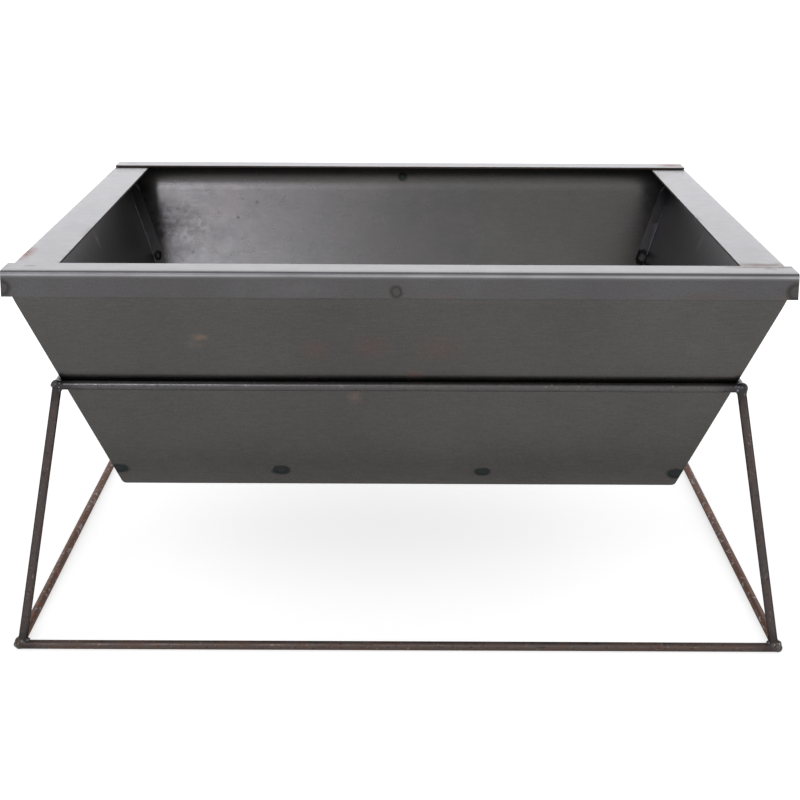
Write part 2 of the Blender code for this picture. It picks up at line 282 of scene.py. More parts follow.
@dataclass(frozen=True)
class MillSheetSteel:
    """Raw rolled sheet steel.

    A thin oxide skin makes it dark and only half shiny: nearly black where it faces the eye
    and pale where it is seen at a low angle. Faint lines follow the mill, spot welds leave blue
    and brown marks, and rust starts at the cut edges. A painted highlight runs along each fold,
    and painted shade can darken the upper wall under the rim.
    """

    name: str
    rolling: Rolling
    mark: SpotMark = SpotMark.SCORCH
    stains: tuple[Stain, ...] = ()
    stained_side: tuple[float, float, float] = (0, -1, 0)   # the stained faces look this way
    edge_rust: float = 0.15
    scuffing: float = 0.03        # how far handling has changed the gloss from place to place
    line_depth: float = 0.05      # how far the mill lines are darker or lighter
    under_rim_shade: float = 0.0      # painted shade along the upper edge, under the rim
    fold_highlight: tuple[tuple[float, float], ...] = (   # painted highlight: levels at distances in mm past a fold
        (-3.6, 0.0), (-1.7, 0.35), (-0.5, 0.55), (0.5, 0.12), (1.5, 0.12), (2.3, 0.38), (3.1, 0.82),
        (3.8, 0.68), (4.7, 0.18), (5.7, 0.04), (7.0, 0.0))
    dark: str = "535253"
    pale: str = "5B5A5B"
    olive: str = "575752"
    heather: str = "5D5658"
    # colour of the painted shade under the rim
    oxide: str = "1E1D1D"
    bright: str = "BEBEC2"        # colour of the painted highlight along a fold
    scorch: str = "2B3233"
    straw: str = "5A4F47"
    rust: str = "7A4A35"
    wobble: float = 1.2 * MM      # how uneven the outline of a weld mark is
    line_width: float = 0.8 * MM  # mill lines are finer; this is what the picture can show
    grain_width: float = 1.6 * MM
    scuff_width: float = 13 * MM
    under_rim_shade_low: float = 306 * MM   # heights between which the painted shade sets in
    under_rim_shade_high: float = 322 * MM
    relief_depth: float = 0.012 * MM
    roughness: float = 0.33

    def colour(self, tree: NodeTree, place: NodeSocket, lines: NodeSocket) -> NodeSocket:
        """Base colour before the marks of welding, folding and rust.

        Args:
            tree: shader tree.
            place: position in metres.
            lines: level of the fine mill lines.

        Returns:
            The colour.
        """
        wide = band(tree, noise(tree, place, 110 * MM, 3), [(0.3, 0.1), (0.7, 0.9)])
        green = band(tree, noise(tree, place, 60 * MM, 2), [(0.42, 0.0), (0.72, 0.4)])
        red = band(tree, noise(tree, place, 42 * MM, 2), [(0.45, 0.0), (0.75, 0.35)])
        base = paint(tree, linear(self.dark), [
            (wide, linear(self.pale)), (green, linear(self.olive)), (red, linear(self.heather))])
        drawn = band(tree, lines, [(0.3, 1 - self.line_depth), (0.5, 1.0),
                                   (0.7, 1 + self.line_depth)])
        grain = noise(tree, place, self.grain_width, 3)
        shade = band(tree, grain, [(0.3, 0.91), (0.7, 1.09)])
        return paint(tree, base, [(1.0, drawn), (1.0, shade)], "MULTIPLY")

    def weld_marks(self, tree: NodeTree, base: NodeSocket, place: NodeSocket) -> NodeSocket:
        """Heat colour round each spot weld.

        Args:
            tree: shader tree.
            base: colour of the steel.
            place: position in metres.

        Returns:
            The colour with the marks.
        """
        near = add_node(tree, "ShaderNodeAttribute", attribute_name="spot_distance").outputs[2]
        near = work_out(tree, noise(tree, place, 5 * MM, 2), ("MULTIPLY", 2 * self.wobble),
                        ("SUBTRACT", self.wobble), ("ADD", near))
        halo = band(tree, near, [(5 * MM, 0.28), (8 * MM, 0.12), (12 * MM, 0.0)])
        mark = band(tree, near, [(away * MM, level) for away, level in self.mark.value])
        return paint(tree, base, [(halo, linear(self.straw)), (mark, linear(self.scorch))])

    def painted_shade_and_fold_highlight(self, tree: NodeTree, base: NodeSocket, place: NodeSocket) -> NodeSocket:
        """Painted shade on the upper wall under the rim, and a painted highlight along each fold.

        Args:
            tree: shader tree.
            base: colour of the steel.
            place: position in metres.

        Returns:
            The colour with the marks.
        """
        height = add_node(tree, "ShaderNodeSeparateXYZ", {0: place}).outputs[2]
        # painted shade: darker towards the top of the wall, under the rim
        upper = band(tree, height, [(self.under_rim_shade_low, 0.0), (self.under_rim_shade_high, self.under_rim_shade)])
        fold = add_node(tree, "ShaderNodeAttribute", attribute_name="fold_distance").outputs[2]
        # painted highlight in bands on either side of the fold
        fold_highlight = band(tree, fold, [(away * MM, level) for away, level in self.fold_highlight])
        along = band(tree, noise(tree, place, 55 * MM, 4), [(0.35, 0.65), (0.65, 1.0)])
        fold_highlight = work_out(tree, fold_highlight, ("MULTIPLY", along))
        return paint(tree, base, [(upper, linear(self.oxide)), (fold_highlight, linear(self.bright))])

    def rust_and_stains(self, tree: NodeTree, base: NodeSocket,
                        place: NodeSocket) -> tuple[NodeSocket, NodeSocket]:
        """Rust that starts at the cut edges, and the stains, painted shadow among them where a
        finish has it.

        Args:
            tree: shader tree.
            base: colour of the steel.
            place: position in metres.

        Returns:
            The colour with both, and the level of rust.
        """
        edge = add_node(tree, "ShaderNodeAttribute", attribute_name="edge_distance").outputs[2]
        at_edge = band(tree, edge, [(0.0, self.edge_rust), (1.5 * MM, self.edge_rust * 0.5),
                                    (6 * MM, 0.0)])
        patchy = band(tree, noise(tree, place, 38 * MM, 4), [(0.56, 0.0), (0.66, 1.0)])
        rust = work_out(tree, at_edge, ("MULTIPLY", patchy))
        normal = add_node(tree, "ShaderNodeTexCoord").outputs["Normal"]
        facing = add_node(tree, "ShaderNodeVectorMath", {0: normal, 1: self.stained_side},
                          operation="DOT_PRODUCT").outputs[1]
        on_side = work_out(tree, facing, ("GREATER_THAN", 0.0))
        ragged = noise(tree, place, 6 * MM, 5)
        coats = []
        for stain in self.stains:
            level = work_out(tree, stain.mask(tree, place, ragged), ("MULTIPLY", on_side))
            coats.append((level, linear(stain.soil.value)))
            if stain.soil.rusty:
                rust = work_out(tree, level, ("MULTIPLY", 0.6), ("MAXIMUM", rust))
        coats.append((work_out(tree, rust, ("MULTIPLY", 0.55)), linear(self.rust)))
        return paint(tree, base, coats), rust

    def material(self) -> Material:
        """Build the finish.

        Returns:
            The material.
        """
        material, tree, place = new_material(self.name)
        lines = noise(tree, place, self.line_width, 3, self.rolling.value)
        base = self.colour(tree, place, lines)
        base = self.weld_marks(tree, base, place)
        base = self.painted_shade_and_fold_highlight(tree, base, place)
        base, rust = self.rust_and_stains(tree, base, place)
        scuff = noise(tree, place, self.scuff_width, 3)
        rough = band(tree, scuff, [(0.3, self.roughness - self.scuffing * 0.4),
                                   (0.7, self.roughness + self.scuffing * 0.6)])
        rough = work_out(tree, rust, ("MULTIPLY", 0.3), ("ADD", rough))
        metallic = band(tree, rust, [(0.0, 1.0), (1.0, 0.45)])
        speckle = work_out(tree, noise(tree, place, 2.2 * MM, 3), ("MULTIPLY", 0.4))
        relief = work_out(tree, lines, ("MULTIPLY", 0.6), ("ADD", speckle))
        surface(tree, {"Base Color": base, "Roughness": rough, "Metallic": metallic},
                relief, self.relief_depth)
        return material


@dataclass(frozen=True)
class ShearedEdge:
    """Cut edge of a steel sheet: torn bright metal that has gone brown in the open."""

    name: str = "sheared steel edge"
    bare: str = "4C4846"
    brown: str = "51433B"

    def material(self) -> Material:
        """Build the finish.

        Returns:
            The material.
        """
        material, tree, place = new_material(self.name)
        patch = band(tree, noise(tree, place, 24 * MM, 4), [(0.42, 0.0), (0.62, 1.0)])
        tear = noise(tree, place, 0.8 * MM, 3)
        base = paint(tree, linear(self.bare), [(patch, linear(self.brown))])
        shade = band(tree, tear, [(0.3, 0.75), (0.7, 1.2)])
        base = paint(tree, base, [(1.0, shade)], "MULTIPLY")
        rough = band(tree, patch, [(0.0, 0.42), (1.0, 0.62)])
        surface(tree, {"Base Color": base, "Roughness": rough, "Metallic": 0.7}, tear, 0.08 * MM)
        return material


@dataclass(frozen=True)
class DrawnRodSteel:
    """Raw round bar: grey-brown skin with long draw lines, brown rust and dark scale spots.

    Next to a weld the heat has left it blue-black.
    """

    name: str
    rusting: float                # share of the surface that has gone brown
    grey: str = "504C4B"
    brown: str = "5E4B41"
    red: str = "6E4934"
    scale_spot: str = "2E2A29"
    fleck: str = "8F8780"
    heat: str = "343334"
    fleck_width: float = 2.2 * MM
    fleck_level: float = 0.64     # lower where more of the pale flecks are left
    sheen: str = "B0A8A4"         # how much of the light it throws back where it turns away

    def material(self) -> Material:
        """Build the finish.

        Returns:
            The material.
        """
        material, tree, place = new_material(self.name)
        along = add_node(tree, "ShaderNodeAttribute", attribute_name="rod_space").outputs[1]
        end = add_node(tree, "ShaderNodeAttribute", attribute_name="end_distance").outputs[2]
        draw = noise(tree, along, 0.7 * MM, 2, (1, 1, 30))
        grain = noise(tree, place, 1.1 * MM, 3)

        most, least = min(self.rusting * 1.5, 1.0), self.rusting * 0.5
        brown = band(tree, noise(tree, place, 34 * MM, 4), [(0.38, least), (0.62, most)])
        red = band(tree, noise(tree, along, 5 * MM, 4, (1, 1, 2.4)),
                   [(0.46, 0.0), (0.66, self.rusting)])
        spots = band(tree, noise(tree, place, 3.0 * MM, 3), [(0.58, 0.0), (0.7, 0.55)])
        flecks = band(tree, noise(tree, along, self.fleck_width, 3, (1, 1, 1.6)),
                      [(self.fleck_level, 0.0), (self.fleck_level + 0.08, 0.6)])
        base = paint(tree, linear(self.grey), [
            (brown, linear(self.brown)), (red, linear(self.red)),
            (spots, linear(self.scale_spot)), (flecks, linear(self.fleck))])
        shade = band(tree, draw, [(0.25, 0.9), (0.75, 1.1)])
        base = paint(tree, base, [(1.0, shade)], "MULTIPLY")
        tempered = band(tree, end, [(8 * MM, 0.6), (13 * MM, 0.3), (22 * MM, 0.0)])
        base = paint(tree, base, [(tempered, linear(self.heat))])

        rough = band(tree, brown, [(0.0, 0.25), (1.0, 0.58)])
        browned = work_out(tree, brown, ("MAXIMUM", red))
        metallic = band(tree, browned, [(0.0, 1.0), (1.0, 0.3)])
        relief = work_out(tree, grain, ("MULTIPLY", 0.8), ("ADD", draw))
        surface(tree, {"Base Color": base, "Roughness": rough, "Metallic": metallic,
                       "Specular Tint": linear(self.sheen)}, relief, 0.05 * MM)
        return material


@dataclass(frozen=True)
class WeldMetal:
    """Weld metal as it cooled: dark skin in patches of two tones and small bright flecks."""

    name: str
    skin: str
    patch: str
    fleck: str = "A0A4A8"

    def material(self) -> Material:
        """Build the finish.

        Returns:
            The material.
        """
        material, tree, place = new_material(self.name)
        patch = band(tree, noise(tree, place, 6 * MM, 3), [(0.4, 0.0), (0.6, 1.0)])
        bright = band(tree, noise(tree, place, 2 * MM, 3), [(0.6, 0.0), (0.67, 0.9)])
        base = paint(tree, linear(self.skin), [
            (patch, linear(self.patch)), (bright, linear(self.fleck))])
        rough = band(tree, bright, [(0.0, 0.32), (0.8, 0.2)])
        grain = noise(tree, place, 0.9 * MM, 4)
        surface(tree, {"Base Color": base, "Roughness": rough, "Metallic": 0.9}, grain, 0.12 * MM)
        return material


@dataclass(frozen=True)
class SpatterSteel:
    """Droplets thrown by the arc: small, smooth and still bright."""

    name: str = "bright weld spatter"
    dull: str = "5C5E62"
    clean: str = "94969A"

    def material(self) -> Material:
        """Build the finish.

        Returns:
            The material.
        """
        material, tree, place = new_material(self.name)
        tone = band(tree, noise(tree, place, 1.5 * MM, 2), [(0.35, 0.0), (0.65, 1.0)])
        base = paint(tree, linear(self.dull), [(tone, linear(self.clean))])
        surface(tree, {"Base Color": base, "Roughness": 0.25, "Metallic": 1.0})
        return material


def new_geometry_tree(name: str, inputs: dict[str, str]) -> NodeTree:
    """Make a Geometry Nodes tree with named inputs.

    Args:
        name: the tree's name.
        inputs: socket type for each named input.

    Returns:
        The tree, which always has a geometry input and a geometry output.
    """
    tree = bpy.data.node_groups.new(name, "GeometryNodeTree")
    tree.interface.new_socket("Geometry", in_out="INPUT", socket_type="NodeSocketGeometry")
    for label, kind in inputs.items():
        tree.interface.new_socket(label, in_out="INPUT", socket_type=kind)
    tree.interface.new_socket("Geometry", in_out="OUTPUT", socket_type="NodeSocketGeometry")
    return tree


def push_out(tree: NodeTree, geometry: NodeSocket, distance: NodeSocket) -> NodeSocket:
    """Move the points of a mesh along its normals and shade it smooth.

    Args:
        tree: geometry tree.
        geometry: the mesh.
        distance: how far each point moves outwards, in metres.

    Returns:
        The moved mesh.
    """
    normal = add_node(tree, "GeometryNodeInputNormal").outputs[0]
    push = add_node(tree, "ShaderNodeVectorMath", {0: normal, "Scale": distance},
                    operation="SCALE")
    moved = add_node(tree, "GeometryNodeSetPosition",
                     {"Geometry": geometry, "Offset": push.outputs[0]})
    return add_node(tree, "GeometryNodeSetShadeSmooth", {0: moved.outputs[0]}).outputs[0]


def set_balls(tree: NodeTree, points: NodeSocket, radius: NodeSocket,
              subdivisions: int) -> NodeSocket:
    """Set a ball on every point.

    Args:
        tree: geometry tree.
        points: the points.
        radius: radius of each ball in metres.
        subdivisions: how finely a ball is made.

    Returns:
        The balls.
    """
    ball = add_node(tree, "GeometryNodeMeshIcoSphere",
                    {"Radius": 1.0, "Subdivisions": subdivisions})
    return add_node(tree, "GeometryNodeInstanceOnPoints",
                    {"Points": points, "Instance": ball.outputs[0], "Scale": radius}).outputs[0]


def make_real(tree: NodeTree, geometry: NodeSocket, finish: NodeSocket) -> NodeSocket:
    """Turn what a tree has made into real meshes with their material.

    Args:
        tree: geometry tree.
        geometry: what it has made.
        finish: the material.

    Returns:
        The dressed meshes.
    """
    real = add_node(tree, "GeometryNodeRealizeInstances", {0: geometry})
    return add_node(tree, "GeometryNodeSetMaterial",
                    {0: real.outputs[0], "Material": finish}).outputs[0]


def run_tree(obj: Object, tree: NodeTree, values: dict[str, Any]) -> None:
    """Run a Geometry Nodes tree on an object and keep the result as its plain mesh.

    Args:
        obj: object whose mesh is replaced.
        tree: the Geometry Nodes tree.
        values: value for each named input.
    """
    modifier = obj.modifiers.new(tree.name, "NODES")
    modifier.node_group = tree
    for item in tree.interface.items_tree:
        if item.in_out == "INPUT" and item.name in values:
            modifier[item.identifier] = values[item.name]
    settle(obj)


def settle(obj: Object) -> None:
    """Turn an object's modifiers into its plain mesh and remove them.

    Args:
        obj: object whose mesh is replaced.
    """
    bpy.context.view_layer.update()
    evaluated = obj.evaluated_get(bpy.context.evaluated_depsgraph_get())
    mesh = bpy.data.meshes.new_from_object(evaluated)
    mesh.name = obj.name
    obj.modifiers.clear()
    obj.data = mesh


def new_piece(name: str, mesh: Mesh) -> Object:
    """Link a new object at the origin.

    Args:
        name: the piece's name.
        mesh: its mesh, with its place in it.

    Returns:
        The object.
    """
    obj = bpy.data.objects.new(name, mesh)
    bpy.context.scene.collection.objects.link(obj)
    return obj


def segment_distance(points: np.ndarray, segments: list[tuple[Vector, Vector]]) -> np.ndarray:
    """Distance from each point to the nearest of some straight segments, in metres.

    Args:
        points: array of N points.
        segments: start and end of each segment.

    Returns:
        Array of N distances, no longer than FAR.
    """
    nearest = np.full(len(points), FAR)
    for start, end in segments:
        first, run = np.array(start), np.array(end - start)
        share = np.clip((points - first) @ run / max(run @ run, 1e-12), 0, 1)
        nearest = np.minimum(nearest, np.linalg.norm(points - first - share[:, None] * run, axis=1))
    return nearest


@dataclass(frozen=True)
class SpotWeld:
    """Spot weld: its place on the outermost sheet, the way that faces, and how wide it spread."""

    place: Vector
    outward: Vector
    spread: float = 1.0
    size: float = 1.0
    inside_only: bool = False     # it left no mark on the outermost sheet

    def turned(self) -> "SpotWeld":
        """The matching weld on the opposite side of the bowl."""
        half = Matrix.Rotation(math.pi, 3, "Z")
        return replace(self, place=half @ self.place, outward=half @ self.outward)

    def measure(self, points: np.ndarray) -> tuple[np.ndarray, np.ndarray]:
        """Distance of points from the weld's axis, and on which sheet of the stack they lie.

        Args:
            points: array of N points.

        Returns:
            N distances, FAR where a point isn't in the stack, and N sides: -1 on the outermost
            sheet, where the electrode pressed inwards, and 1 on the sheet behind it.
        """
        level = self.outward.cross(Vector((0, 0, 1))).normalized()
        away = points - np.array(self.place)
        depth = -away @ np.array(self.outward)
        away = away + depth[:, None] * np.array(self.outward)
        sideways = away @ np.array(level)
        away = away - sideways[:, None] * np.array(level) * (1 - 1 / self.spread)
        across = np.linalg.norm(away, axis=1) / self.size
        stack = 6 * MM                # deeper than the welded sheets together
        middle = 1 * MM               # half way through the outermost sheet
        in_stack = (depth > (middle if self.inside_only else -stack)) & (depth < stack)
        return np.where(in_stack, across, FAR), np.where(depth < middle, -1.0, 1.0)


def cut_places(low: float, high: float, step: float, centres: list[float]) -> list[float]:
    """Places where a sheet is cut into a finer mesh, closer together round each spot weld.

    Args:
        low: lowest place.
        high: highest place.
        step: distance between cuts away from the welds.
        centres: places of the welds.

    Returns:
        Rising places between low and high.
    """
    fine, around = 1.1 * MM, 8 * MM
    places = list(np.arange(low + step, high - step / 2, step))
    for centre in centres:
        places += list(np.arange(centre - around, centre + around + 0.1 * MM, fine))
    kept = [low]
    for place in sorted(places):
        if place - kept[-1] > fine * 0.6 and place < high:
            kept.append(float(place))
    return kept[1:]


def sheet_tree() -> NodeTree:
    """Geometry Nodes tree that works a flat-sided sheet: slight waves and spot weld dents.

    Returns:
        The tree.
    """
    tree = new_geometry_tree("worked sheet", {
        "Wave Depth": "NodeSocketFloat", "Wave Length": "NodeSocketFloat",
        "Dent Depth": "NodeSocketFloat", "Dent Radius": "NodeSocketFloat",
        "Seed": "NodeSocketFloat", "Sheet Steel": "NodeSocketMaterial"})
    given = add_node(tree, "NodeGroupInput").outputs
    place = add_node(tree, "GeometryNodeInputPosition").outputs[0]
    scale = work_out(tree, 1.0, ("DIVIDE", given["Wave Length"]))
    cloud = add_node(tree, "ShaderNodeTexNoise",
                     {"Vector": place, "W": given["Seed"], "Scale": scale, "Detail": 0.0},
                     noise_dimensions="4D")
    wave = work_out(tree, cloud.outputs[0], ("MULTIPLY", given["Wave Depth"]),
                    ("MULTIPLY", -1.0))
    near = add_node(tree, "GeometryNodeInputNamedAttribute", {"Name": "spot_distance"},
                    data_type="FLOAT").outputs[0]
    side = add_node(tree, "GeometryNodeInputNamedAttribute", {"Name": "spot_side"},
                    data_type="FLOAT").outputs[0]
    inner = work_out(tree, given["Dent Radius"], ("MULTIPLY", 0.55))
    dent = add_node(tree, "ShaderNodeMapRange",
                    {0: near, 1: inner, 2: given["Dent Radius"], 3: 1.0, 4: 0.0},
                    interpolation_type="SMOOTHSTEP").outputs[0]
    depth = work_out(tree, dent, ("MULTIPLY", side), ("MULTIPLY", given["Dent Depth"]),
                     ("ADD", wave))
    worked = push_out(tree, given["Geometry"], depth)
    add_node(tree, "NodeGroupOutput", {0: make_real(tree, worked, given["Sheet Steel"])})
    return tree


def grid(bm: BMesh, rows: list[list[Vector]]) -> None:
    """Add the four-sided faces between rows of points.

    Args:
        bm: mesh that they join.
        rows: the points, each row as long as the next.
    """
    made = [[bm.verts.new(point) for point in row] for row in rows]
    for lower, upper in zip(made, made[1:]):
        for i in range(len(lower) - 1):
            bm.faces.new((lower[i], lower[i + 1], upper[i + 1], upper[i]))


def arc(start: float, turn: float, steps: int) -> list[float]:
    """Evenly spaced angles from `start` through `turn`, both in radians, ends included."""
    return [start + turn * i / steps for i in range(steps + 1)]


@dataclass
class Bowl:
    """Sizes of the folded bowl and the seven sheets that make it."""

    thickness: float = 2.0 * MM
    gap: float = 0.3 * MM
    floor_width: float = 491.4 * MM
    side_top_width: float = 657 * MM   # to the sharp top corners of the side walls
    floor_depth: float = 494 * MM
    side_flange: float = 40 * MM
    side_bend_radius: float = 2.3 * MM
    bend_radius: float = 2.6 * MM
    tab_width: float = 13 * MM
    tab_relief: float = 3 * MM
    tab_bend: float = 2.5 * MM
    corner_radius: float = 2.8 * MM
    shoulder_radius: float = 60 * MM   # soft bend where an end wall turns upright
    wave_depth: float = 0.35 * MM
    wave_length: float = 230 * MM
    dent_depth: float = 0.14 * MM
    dent_radius: float = 5.2 * MM
    edge_round: float = 0.3 * MM
    cell: float = 16 * MM
    weld_height: float = 137 * MM      # spot welds through the pan's upturned edge
    tab_weld_height: float = 226 * MM
    lip_weld_height: float = 315.5 * MM
    rim_weld_inset: float = 19 * MM    # welds in the rim's corners, from the lip
    tab_weld_inset: float = 7 * MM     # welds of the tabs, from the side wall's outer face
    shoulder_steps: int = 10
    bend_steps: int = 6
    seed: float = 4.0

    def __post_init__(self) -> None:
        """Read the sizes that the frame holds, and place the spot welds."""
        rim_low, rim_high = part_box("front_rim")
        wall_low, wall_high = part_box("front_wall")
        pan_low, pan_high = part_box("bottom_pan")
        self.rim_top, self.lip_low = rim_high.z, rim_low.z
        self.rim_front, self.rim_inner = rim_low.y, rim_high.y
        self.floor_z, self.upstand_top = wall_low.z, wall_high.z
        self.wall_front = wall_low.y
        self.side_corner = self.side_top_width / 2
        self.side_inner = self.side_corner - self.side_flange
        self.side_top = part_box("left_wall")[1].z
        self.pan_low, self.pan_top = pan_low.z, pan_high.z
        self.front_slope = (-self.wall_front - self.floor_depth / 2) / (self.lip_low - self.floor_z)
        self.side_slope = ((self.side_corner - self.floor_width / 2)
                           / (self.side_top - self.floor_z))
        self.welds = self.place_welds()

    def depth_at(self, z: float, inset: float = 0.0) -> float:
        """Half depth of the bowl at height z, `inset` inside the front wall's outer face."""
        slope = self.front_slope
        return self.floor_depth / 2 + (z - self.floor_z) * slope - inset * math.hypot(1, slope)

    def shoulder(self) -> list[tuple[float, float]]:
        """Soft bend where an end wall turns upright.

        Returns:
            Half depth and height of points round it, lowest first.
        """
        lean, radius = math.atan(self.front_slope), self.shoulder_radius
        centre_z = self.lip_low + radius * math.tan(lean / 2)
        return [(radius * math.cos(angle) - radius - self.wall_front,
                 centre_z - radius * math.sin(angle))
                for angle in arc(lean, -lean, self.shoulder_steps)]

    def width_at(self, z: float, inset: float = 0.0) -> float:
        """Half width of the bowl at height z, `inset` inside a side wall's outer face."""
        slope = self.side_slope
        return self.floor_width / 2 + (z - self.floor_z) * slope - inset * math.hypot(1, slope)

    def place_welds(self) -> list[SpotWeld]:
        """Spot welds of the whole bowl: lips, rim corners, pan edges and corner tabs.

        Returns:
            The welds, as uneven as they were set by hand.
        """
        forward = Vector((0, -1, -self.front_slope)).normalized()
        leftward = Vector((-1, 0, -self.side_slope)).normalized()
        level, above = Vector((0, -1, 0)), Vector((0, 0, 1))
        found = []
        for x, rise, size in ((-328 * MM, MM, 1.25), (-3 * MM, -MM, 0.95), (327 * MM, 0, 1.4)):
            z = self.lip_weld_height + rise
            found.append(SpotWeld(Vector((x, self.rim_front, z)), level, size=size))
        for x in (-308 * MM, 309 * MM):
            found.append(SpotWeld(Vector((x, self.rim_front + self.rim_weld_inset, self.rim_top)),
                                  above))
        for x, rise, spread, size in (
                (-249 * MM, 1.5 * MM, 2.1, 0.85), (-104.5 * MM, 0.5 * MM, 1.65, 0.9),
                (74 * MM, -0.5 * MM, 1.7, 0.78), (246 * MM, -1.5 * MM, 1.5, 1.0)):
            z = self.weld_height + rise
            found.append(SpotWeld(Vector((x, -self.depth_at(z), z)), forward, spread, size))
        for side in (-1, 1):
            z = self.tab_weld_height
            x = side * (self.width_at(z) - self.tab_weld_inset)
            found.append(SpotWeld(Vector((x, -self.depth_at(z), z)), forward, 0.8,
                                  2.0 if side < 0 else 1.15, inside_only=True))
        for y, spread in ((-150 * MM, 1.4), (10 * MM, 1.6), (155 * MM, 1.3)):
            z = self.weld_height
            found.append(SpotWeld(Vector((-self.width_at(z), y, z)), leftward, spread))
        return found + [weld.turned() for weld in found]

    def wall_stains(self) -> tuple[Stain, ...]:
        """Smears of rust on the front wall, and rubbed and soiled metal inside the rear wall.

        Returns:
            The stains.
        """
        deep = 20
        smears = ((-167.5, 271.4, 9.5, 4, Soil.TAN, 0.7), (-173, 263.8, 12, 5, Soil.TAN, 0.2),
                  (-71.3, 259.5, 17, 13, Soil.RED, 0.16), (-23.2, 262.6, 20, 15, Soil.RED, 0.18),
                  (34.2, 260, 26, 17, Soil.RED, 0.14), (13.3, 235.5, 10, 6, Soil.RED, 0.35),
                  (-38, 213, 9, 8, Soil.TAN, 0.35))
        rubbed = ((-276, 275.9, 30, 23, 0.7, 0.9), (-266, 261, 42, 17, 0.75, 1.4),
                  (-274, 249, 30, 22, 0.6, 0.9), (-244, 274.6, 26, 11, 0.35, 1.2),
                  (-214.5, 249.5, 38, 18, 0.3, 1.2), (-250.7, 234, 24, 12, 0.5, 1.2))
        specks = ((-166.3, 285.9, 2.4, 0.9), (-188.1, 269.4, 2, 0.8))
        found = [Stain((x, -self.depth_at(z * MM) / MM, z), (wide, deep, high), soil, strength)
                 for x, z, wide, high, soil, strength in smears]
        inset = self.thickness
        found += [Stain((x, self.depth_at(z * MM, inset) / MM, z), (wide, deep, high), Soil.DULL,
                        strength, ragged) for x, z, wide, high, strength, ragged in rubbed]
        return (*found, *(Stain((x, self.depth_at(z * MM, inset) / MM, z), (size, deep / 2, size),
                                Soil.SOOT_AND_SHADOW, strength) for x, z, size, strength in specks))

    def flange_stains_and_shade(self) -> tuple[Stain, ...]:
        """Rust on the side flanges, painted shadow in the step under the front rim's rear edge, and
        a scratch inside each side wall.

        Returns:
            The stains.
        """
        top = self.side_top / MM
        found = [Stain((x, y, top), (wide, long, 5), soil, strength)
                 for x, y, wide, long, soil, strength in (
                     (-325, -236, 9, 40, Soil.RED, 1.0), (327.5, 200, 3, 40, Soil.RED, 0.4),
                     (-326.5, 250, 4, 50, Soil.RED, 0.6), (305, -274, 34, 10, Soil.BROWN, 1.0),
                     # painted shadow of the step where the front rim's rear edge lies over each
                     # flange
                     (-287.5, -276.5, 4, 9, Soil.SOOT_AND_SHADOW, 0.9), (287.5, -283.5, 4, 9, Soil.SOOT_AND_SHADOW, 0.9))]
        for side, y, z, strength in ((-1, 48, 288.5, 0.6), (1, 58, 286.3, 0.4)):
            x = side * self.width_at(z * MM, self.thickness) / MM
            found.append(Stain((x, y, z), (10, 8, 14), Soil.PALE, strength))
        return tuple(found)

    def rim_stains(self) -> tuple[Stain, ...]:
        """Rust at the right ends of the rims, and a worn patch on the front lip.

        Returns:
            The stains.
        """
        front, top = self.rim_front / MM, self.rim_top / MM
        return (Stain((253, front, 311.5), (30, 20, 4), Soil.BROWN, 0.35),
                Stain((315, 310, top), (24, 16, 6), Soil.RED, 0.9),
                Stain((-85, front, 317), (60, 20, 20), Soil.WORN, 0.5),
                Stain((305, -296, top), (45, 6, 4), Soil.BROWN, 1.0))

    def end_wall(self) -> BMesh:
        """Outer face of the front wall: the slope and the upright edge behind the lip.

        Returns:
            The face.
        """
        bm = bmesh.new()
        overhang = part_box("front_wall")[1].x - self.width_at(self.lip_low)
        heights = [(self.depth_at(self.floor_z), self.floor_z), *self.shoulder(),
                   (-self.wall_front, self.upstand_top)]
        rows = []
        for depth, z in heights:
            half = self.width_at(min(z, self.lip_low)) + overhang
            rows.append([Vector((-half, -depth, z)), Vector((half, -depth, z))])
        grid(bm, rows)
        corners = [vert for vert in bm.verts if vert.co.z < self.floor_z + MM]
        bmesh.ops.bevel(bm, geom=corners, offset=self.corner_radius, segments=4, profile=0.5,
                        affect="VERTICES")
        return bm

    def side_wall(self) -> BMesh:
        """Outer face of the left wall: slope, flange turned inwards and a tab at each end.

        Returns:
            The face.
        """
        bm = bmesh.new()
        lap = self.thickness + self.gap
        tab_low = self.pan_top + self.tab_relief
        tab_high = self.lip_low - self.tab_relief
        bend = self.tab_bend
        depths, heights = zip(*self.shoulder())

        def end_at(z: float) -> float:
            """Half length of the wall at height z, a lap inside the end wall."""
            outer = self.depth_at(z) if z < heights[0] else float(np.interp(z, heights, depths))
            return outer - lap * math.hypot(1, self.front_slope)

        def plain_row(x: float, z: float) -> list[Vector]:
            """Row of points without tabs."""
            end = end_at(z)
            return [Vector((-x, y, z)) for y in (-end, bend - end, end - bend, end)]

        def tab_row(z: float) -> list[Vector]:
            """Row of points that runs round both tabs.

            Args:
                z: height of the row.

            Returns:
                The points.
            """
            x, end = self.width_at(z), end_at(z)
            free = self.width_at(z, self.tab_width)
            curve = [Vector((-x + bend - bend * math.cos(a), bend - end - bend * math.sin(a), z))
                     for a in arc(math.pi / 2, -math.pi / 2, 4)]
            front = [Vector((-free, -end, z))] + curve
            return front + [Vector((p.x, -p.y, z)) for p in reversed(front)]

        grid(bm, [plain_row(self.width_at(z), z) for z in (self.floor_z, tab_low)])
        grid(bm, [tab_row(z) for z in (tab_low, heights[0], tab_high)])
        lean = math.atan(self.side_slope)
        turn = math.pi / 2 + lean
        radius = self.side_bend_radius
        reach = radius * math.tan(turn / 2)
        start_z = self.side_top - reach * math.cos(lean)
        rows = [plain_row(self.width_at(z), z) for z in np.linspace(tab_high, start_z, 6)]
        centre_x = self.side_corner - reach
        centre_z = self.side_top - radius
        for angle in arc(-lean, turn, self.bend_steps)[1:]:
            rows.append(plain_row(centre_x + radius * math.cos(angle),
                                  centre_z + radius * math.sin(angle)))
        rows.append(plain_row(self.side_inner, self.side_top))
        grid(bm, rows)
        return bm

